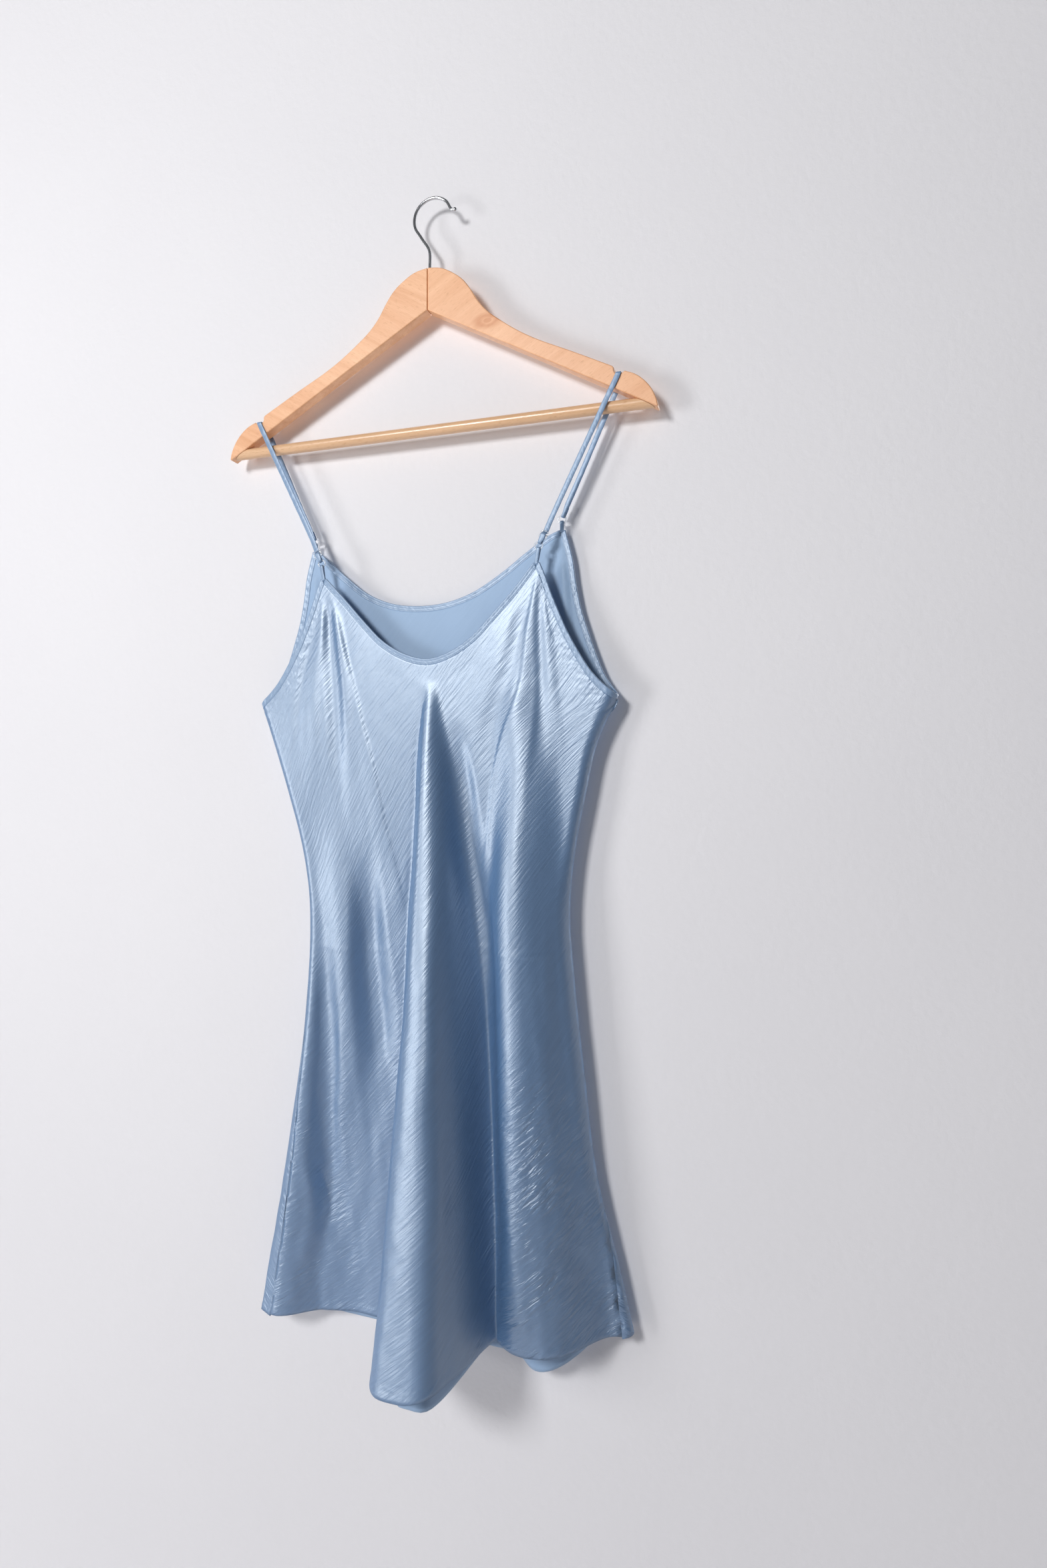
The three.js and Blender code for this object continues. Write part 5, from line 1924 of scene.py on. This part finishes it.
    def build(self) -> dict[Face, list[Piece]]:
        """Makes the strap and its fittings.

        Returns:
            The pieces by the panel that carries them.
        """
        front = [self.strap(), self.slider()]
        front += [self.ring(Face.FRONT, self.front_ring), self.loop(Face.FRONT, self.front_ring)]
        back = [self.ring(Face.BACK, self.back_ring), self.loop(Face.BACK, self.back_ring)]
        return {Face.FRONT: front, Face.BACK: back}


@dataclass
class Dress:
    """All the sewn pieces."""

    finishes: Finishes
    form: DressForm = field(default_factory=DressForm)
    stitch_from_hem: float = 6.8
    stitch_lift: float = 0.45
    # the cut of each panel in metres: width along the hem, length, and flat area
    cuts: dict[Face, tuple[float, float, float]] = field(
        default_factory=lambda: {Face.FRONT: (0.55, 0.735, 0.245), Face.BACK: (0.60, 0.775, 0.265)}
    )

    def build(self) -> None:
        carried, lines = Binding(self.form, self.finishes).build()
        for side in Side:
            for face, pieces in StrapFittings(self.form, self.finishes, side).build().items():
                carried[face] += pieces
        stitching = Stitching(self.finishes)
        carried[Face.FRONT].append(stitching.build("binding_stitches", lines))
        for face in Face:
            panel = Panel(self.form, face, self.finishes)
            piece, middle, outward = panel.build()
            rows = self.seam_lines(panel, middle, outward)
            carried[face].append(stitching.build(f"{face.word}_stitches", rows))

    def seam_lines(self, panel: Panel, middle: Array, outward: Array) -> list[tuple[Array, Array]]:
        """Where threads show on a panel: along the hem, and down the left seam of the front.

        Args:
            panel: the panel.
            middle: its final mid-surface.
            outward: its outward directions.

        Returns:
            (places, directions) of each row.
        """
        above = np.linalg.norm(middle - middle[:1], axis=-1)
        row = np.argmin(np.abs(above - self.stitch_from_hem), axis=0)
        column = np.arange(panel.columns)
        hem = middle[row, column] + outward[row, column] * self.stitch_lift
        lines = [(hem, outward[row, column])]
        if panel.face is Face.FRONT:
            run = slice(4, int(panel.rows * 0.62))
            seam = middle[run, 1] + outward[run, 1] * self.stitch_lift
            lines.append((seam, outward[run, 1]))
        return lines


# ---- Hanger ----


@dataclass
class Hanger:
    """The wooden arms, the bar, its brads and the wire hook."""

    finishes: Finishes
    thickness: float = 12.0
    edge_round: float = 1.7
    joint_gap: float = 0.3
    underside_top: float = -40.7
    underside_slope: float = 0.546
    half_span: float = 222.0
    bar_radius: float = 5.25
    bar_height: float = -155.0
    wire_radius: float = 1.5
    shoulder: tuple[Point, ...] = (
        (14, -2.6), (26, -9), (36, -17), (45, -29), (52, -40.5), (62, -52),
        (75, -62.5), (92, -74.5), (109, -84.5), (143, -101), (180.5, -119.8),
    )
    notch: tuple[Point, ...] = (
        (182, -121.4), (182.15, -124.4), (183.2, -126.6), (185, -127.3), (189, -127.3), (190.8, -126.8)
    )
    tip: tuple[Point, ...] = (
        (191.5, -125.6), (200.5, -129.3), (208, -134.8), (215.5, -143.6), (220.3, -153.5), (222, -160.2)
    )
    hook_centre: Point = (3.2, 50.1)
    hook_radius: float = 19.5
    ball_at: Triple = (26, 0, 54.3)
    ball_radius: float = 2.05
    brad_x: float = 212.0

    def underside(self, x: float) -> float:
        """Height of the arms' straight underside."""
        return self.underside_top - self.underside_slope * x

    def outline(self) -> Array:
        """Outline of the right arm, anticlockwise from the joint's foot.

        Returns:
            (n, 2) places, x and z.
        """
        start, heel = self.joint_gap / 2, self.half_span - 1.2
        top = curve_through([(start, 0.0), *self.shoulder], 90)
        tip = curve_through(self.tip, 40)
        foot = np.array([(221.7, -161.0), (heel, self.underside(heel)), (start, self.underside(start))])
        return np.vstack([top, self.notch, tip, foot])[::-1]

    def arm(self, side: Side) -> Piece:
        """One arm: its outline given thickness, then its rims rounded.

        Args:
            side: which arm.

        Returns:
            The piece.
        """
        flat = self.outline()
        count = len(flat)
        front, back = (
            np.stack([side.value * flat[:, 0], np.full(count, y), flat[:, 1]], axis=-1)
            for y in (-self.thickness / 2, self.thickness / 2)
        )
        ring = np.arange(count)
        following = (ring + 1) % count
        walls = np.stack([ring, ring + count, following + count, following], axis=-1)
        faces = [ring.tolist(), (ring[::-1] + count).tolist(), *walls.tolist()]
        name = f"hanger_arm_{side.word}"
        piece = new_piece(f"{name}_wood", np.vstack([front, back]), faces, [self.finishes.arms[side]])
        outward_faces(piece)
        rim = piece.modifiers.new("rounded_rims", "BEVEL")
        rim.width = self.edge_round * MM
        rim.segments = 4
        rim.limit_method = "ANGLE"
        rim.angle_limit = math.radians(60)
        rim.harden_normals = False
        piece.data.set_sharp_from_angle(angle=math.radians(40))
        return register(piece, [name])

    def bar(self) -> Piece:
        """The round bar between the arms, its ends cut to their slope.

        Returns:
            The piece.
        """
        gap = self.joint_gap * math.hypot(1, self.underside_slope)
        profile = round_profile(self.bar_radius, 40)
        reach = (self.underside_top - gap - (self.bar_height + profile[:, 1])) / self.underside_slope
        share = np.linspace(-1, 1, 25)
        x = share[:, None] * reach[None]
        y = np.broadcast_to(profile[None, :, 0], x.shape)
        z = np.broadcast_to(self.bar_height + profile[None, :, 1], x.shape)
        points = np.stack([x, y, z], axis=-1).reshape(-1, 3)
        sides = len(profile)
        faces = grid_quads(len(share), sides, ring=True).tolist()
        last = (len(share) - 1) * sides
        faces += [list(range(sides))[::-1], list(range(last, last + sides))]
        piece = new_piece("hanger_bar_wood", points, faces, [self.finishes.bar])
        outward_faces(piece)
        piece.data.set_sharp_from_angle(angle=math.radians(50))
        return register(piece, ["hanger_bar"])

    def hook(self) -> Piece:
        """The wire hook: stem, neck bend, round crown and a flick that ends in a ball.

        Returns:
            The piece.
        """
        angle = np.radians(np.arange(222, 24, -18))
        ring = np.stack([np.cos(angle), np.sin(angle)], axis=-1)
        crown = np.array(self.hook_centre) + self.hook_radius * ring
        stem = [(0, -24.0), (0, 2.0), (0, 17.0), (-1.8, 22.5), (-6.4, 29.4)]
        route = [*stem, *crown, (21.6, 56.4), (23.4, 54.6), (25.8, 54.3)]
        line = curve_through(route, 170)
        path = np.stack([line[:, 0], 0 * line[:, 0], line[:, 1]], axis=-1)
        along = unit(np.gradient(path, axis=0))
        wire = sweep(path, AWAY, np.cross(along, AWAY), round_profile(self.wire_radius, 18))
        polar = np.linspace(0, math.pi, 15)
        ball = self.ball_radius * np.stack([np.sin(polar), np.cos(polar)], axis=-1)
        turn = np.linspace(0, 2 * math.pi, 24, endpoint=False)
        sphere = np.stack(
            [
                ball[:, None, 1] + 0 * turn[None],
                ball[:, None, 0] * np.cos(turn)[None],
                ball[:, None, 0] * np.sin(turn)[None],
            ],
            axis=-1,
        ).reshape(-1, 3) + np.array(self.ball_at)
        points, faces = joined([wire, (sphere, grid_quads(15, 24, ring=True))])
        piece = new_piece("hanger_hook_wire", points, faces, [self.finishes.chrome])
        outward_faces(piece, weld=True)
        return register(piece, ["hanger_hook"])

    def brads(self) -> Piece:
        """The small nail heads under the arm tips that hold the bar.

        Returns:
            The piece.
        """
        parts = []
        rings = np.array([(1.1, -0.4), (1.1, 0.1), (0.8, 0.3), (0.25, 0.38)])  # radius and height
        angle = np.linspace(0, 2 * math.pi, 20, endpoint=False)
        for side in Side:
            foot = np.array([side.value * self.brad_x, 0, self.underside(self.brad_x)])
            down = unit(np.array([-side.value * self.underside_slope, 0, -1.0]))
            around = AWAY * np.cos(angle)[:, None] + np.cross(down, AWAY) * np.sin(angle)[:, None]
            radius, height = rings[:, None, :1], rings[:, None, 1:]
            points = foot + around * radius + down * height
            faces = grid_quads(4, 20, ring=True).tolist() + [list(range(20))[::-1], list(range(60, 80))]
            parts.append((points.reshape(-1, 3), faces))
        piece = new_piece("bar_brads", *joined(parts), [self.finishes.brad])
        outward_faces(piece)
        return register(piece)

    def build(self) -> None:
        """Makes every part of the hanger."""
        for side in Side:
            self.arm(side)
        self.bar()
        self.hook()
        self.brads()


# ---- Studio ----


@dataclass
class Studio:
    """A pale wall and floor, soft lights and the camera."""

    wall_y: float = 0.0175
    floor_z: float = -1.75
    camera_at: Triple = (0.3487, -0.7995, -0.5648)
    camera_turn: float = 17.6
    lens: float = 20.57
    sensor: float = 36.0
    dim_sky: float = 0.12  # strength of the light from all round
    bright_sky: float = 0.80  # its strength where the camera sees it

    def wall_material(self) -> Material:
        """Pale matt paint that is only there when it is seen from the front.

        Returns:
            The material.
        """
        material, nodes, shader = new_material("pale_paint")
        place = nodes.add("ShaderNodeTexCoord").outputs["Object"]
        colour = nodes.mix(nodes.noise(place, 2.2, 3.0), (0.74, 0.73, 0.755), (0.80, 0.79, 0.81))
        rolled = nodes.noise(place, 160.0, 4.0)
        bump = nodes.add("ShaderNodeBump", {"Height": rolled, "Strength": 0.25, "Distance": 0.0012})
        nodes.feed(shader.inputs["Base Color"], colour)
        nodes.feed(shader.inputs["Normal"], bump.outputs[0])
        shader.inputs["Roughness"].default_value = 0.75
        clear = nodes.add("ShaderNodeBsdfTransparent")
        behind = nodes.add("ShaderNodeNewGeometry").outputs["Backfacing"]
        shadow = nodes.add("ShaderNodeLightPath").outputs["Is Shadow Ray"]
        unseen = nodes.math("MAXIMUM", behind, shadow)
        mixed = nodes.add("ShaderNodeMixShader", {0: unseen, 1: shader.outputs[0], 2: clear.outputs[0]})
        output = next(n for n in material.node_tree.nodes if n.type == "OUTPUT_MATERIAL")
        nodes.feed(output.inputs["Surface"], mixed.outputs[0])
        return material

    def backdrop(self) -> None:
        """Wall and floor as one sheet with a rounded foot."""
        bend, half_width, top, front = 0.35, 3.2, 1.6, -4.5
        angle = np.linspace(0, math.pi / 2, 14)
        rounded_y = self.wall_y - bend + bend * np.cos(angle)
        rounded_z = self.floor_z + bend - bend * np.sin(angle)
        curve = np.stack([rounded_y, rounded_z], axis=-1)
        line = np.vstack([[self.wall_y, top], curve, [front, self.floor_z]])
        x = np.array([half_width, -half_width])[None]
        points = np.stack(np.broadcast_arrays(x, line[:, :1], line[:, 1:]), axis=-1)
        mesh = bpy.data.meshes.new("backdrop")
        mesh.from_pydata(points.reshape(-1, 3).tolist(), [], grid_quads(len(line), 2).tolist())
        mesh.materials.append(self.wall_material())
        mesh.polygons.foreach_set("use_smooth", np.full(len(mesh.polygons), True))
        sheet = bpy.data.objects.new("backdrop", mesh)
        bpy.context.collection.objects.link(sheet)

    def light(self, name: str, at: Triple, towards: Triple, size: Point, power: float) -> None:
        """One soft light.

        Args:
            name: its name.
            at: its place.
            towards: what it faces.
            size: its width and height.
            power: its power in watts.
        """
        data = bpy.data.lights.new(name, "AREA")
        data.energy, data.shape = power, "RECTANGLE"
        data.size, data.size_y = size
        lamp = bpy.data.objects.new(name, data)
        lamp.location = at
        lamp.rotation_mode = "QUATERNION"
        lamp.rotation_quaternion = Vector(np.subtract(towards, at)).to_track_quat("-Z", "Y")
        bpy.context.collection.objects.link(lamp)

    def build(self) -> None:
        """Makes the backdrop, the lights and the camera."""
        self.backdrop()
        self.light("key", (-0.7, -2.1, 0.35), (0.05, 0.0, -0.5), (0.5, 0.5), 35)
        self.light("window", (-2.9, -2.3, -0.8), (0.1, 0.0, -0.7), (0.8, 1.4), 46)
        self.light("fill", (1.8, -2.2, -0.2), (0.0, 0.0, -0.6), (2.0, 2.0), 1)
        self.light("rear", (0.9, 2.3, 0.1), (0.0, 0.0, -0.6), (1.2, 1.2), 32)
        world = bpy.data.worlds.new("studio")
        world.use_nodes = True
        sky = world.node_tree.nodes["Background"]
        sky.inputs["Color"].default_value = (0.93, 0.95, 1.0, 1)
        nodes = NodeTree(world.node_tree)
        seen = nodes.add("ShaderNodeLightPath").outputs["Is Camera Ray"]
        strength = nodes.math("MULTIPLY_ADD", seen, self.bright_sky - self.dim_sky, self.dim_sky)
        nodes.feed(sky.inputs["Strength"], strength)
        bpy.context.scene.world = world
        lens = bpy.data.cameras.new("camera")
        lens.lens, lens.sensor_width = self.lens, self.sensor
        camera = bpy.data.objects.new("camera", lens)
        camera.location = self.camera_at
        camera.rotation_euler = (math.radians(90), 0, math.radians(self.camera_turn))
        bpy.context.collection.objects.link(camera)
        bpy.context.scene.camera = camera
        bpy.context.scene.view_settings.view_transform = "Standard"


def main() -> None:
    """Builds the studio, the hanger and the dress."""
    logging.basicConfig(level=logging.INFO, format="%(name)s %(message)s")
    Studio().build()
    finishes = Finishes()
    Hanger(finishes).build()
    Dress(finishes).build()


if __name__ == "__main__":
    main()
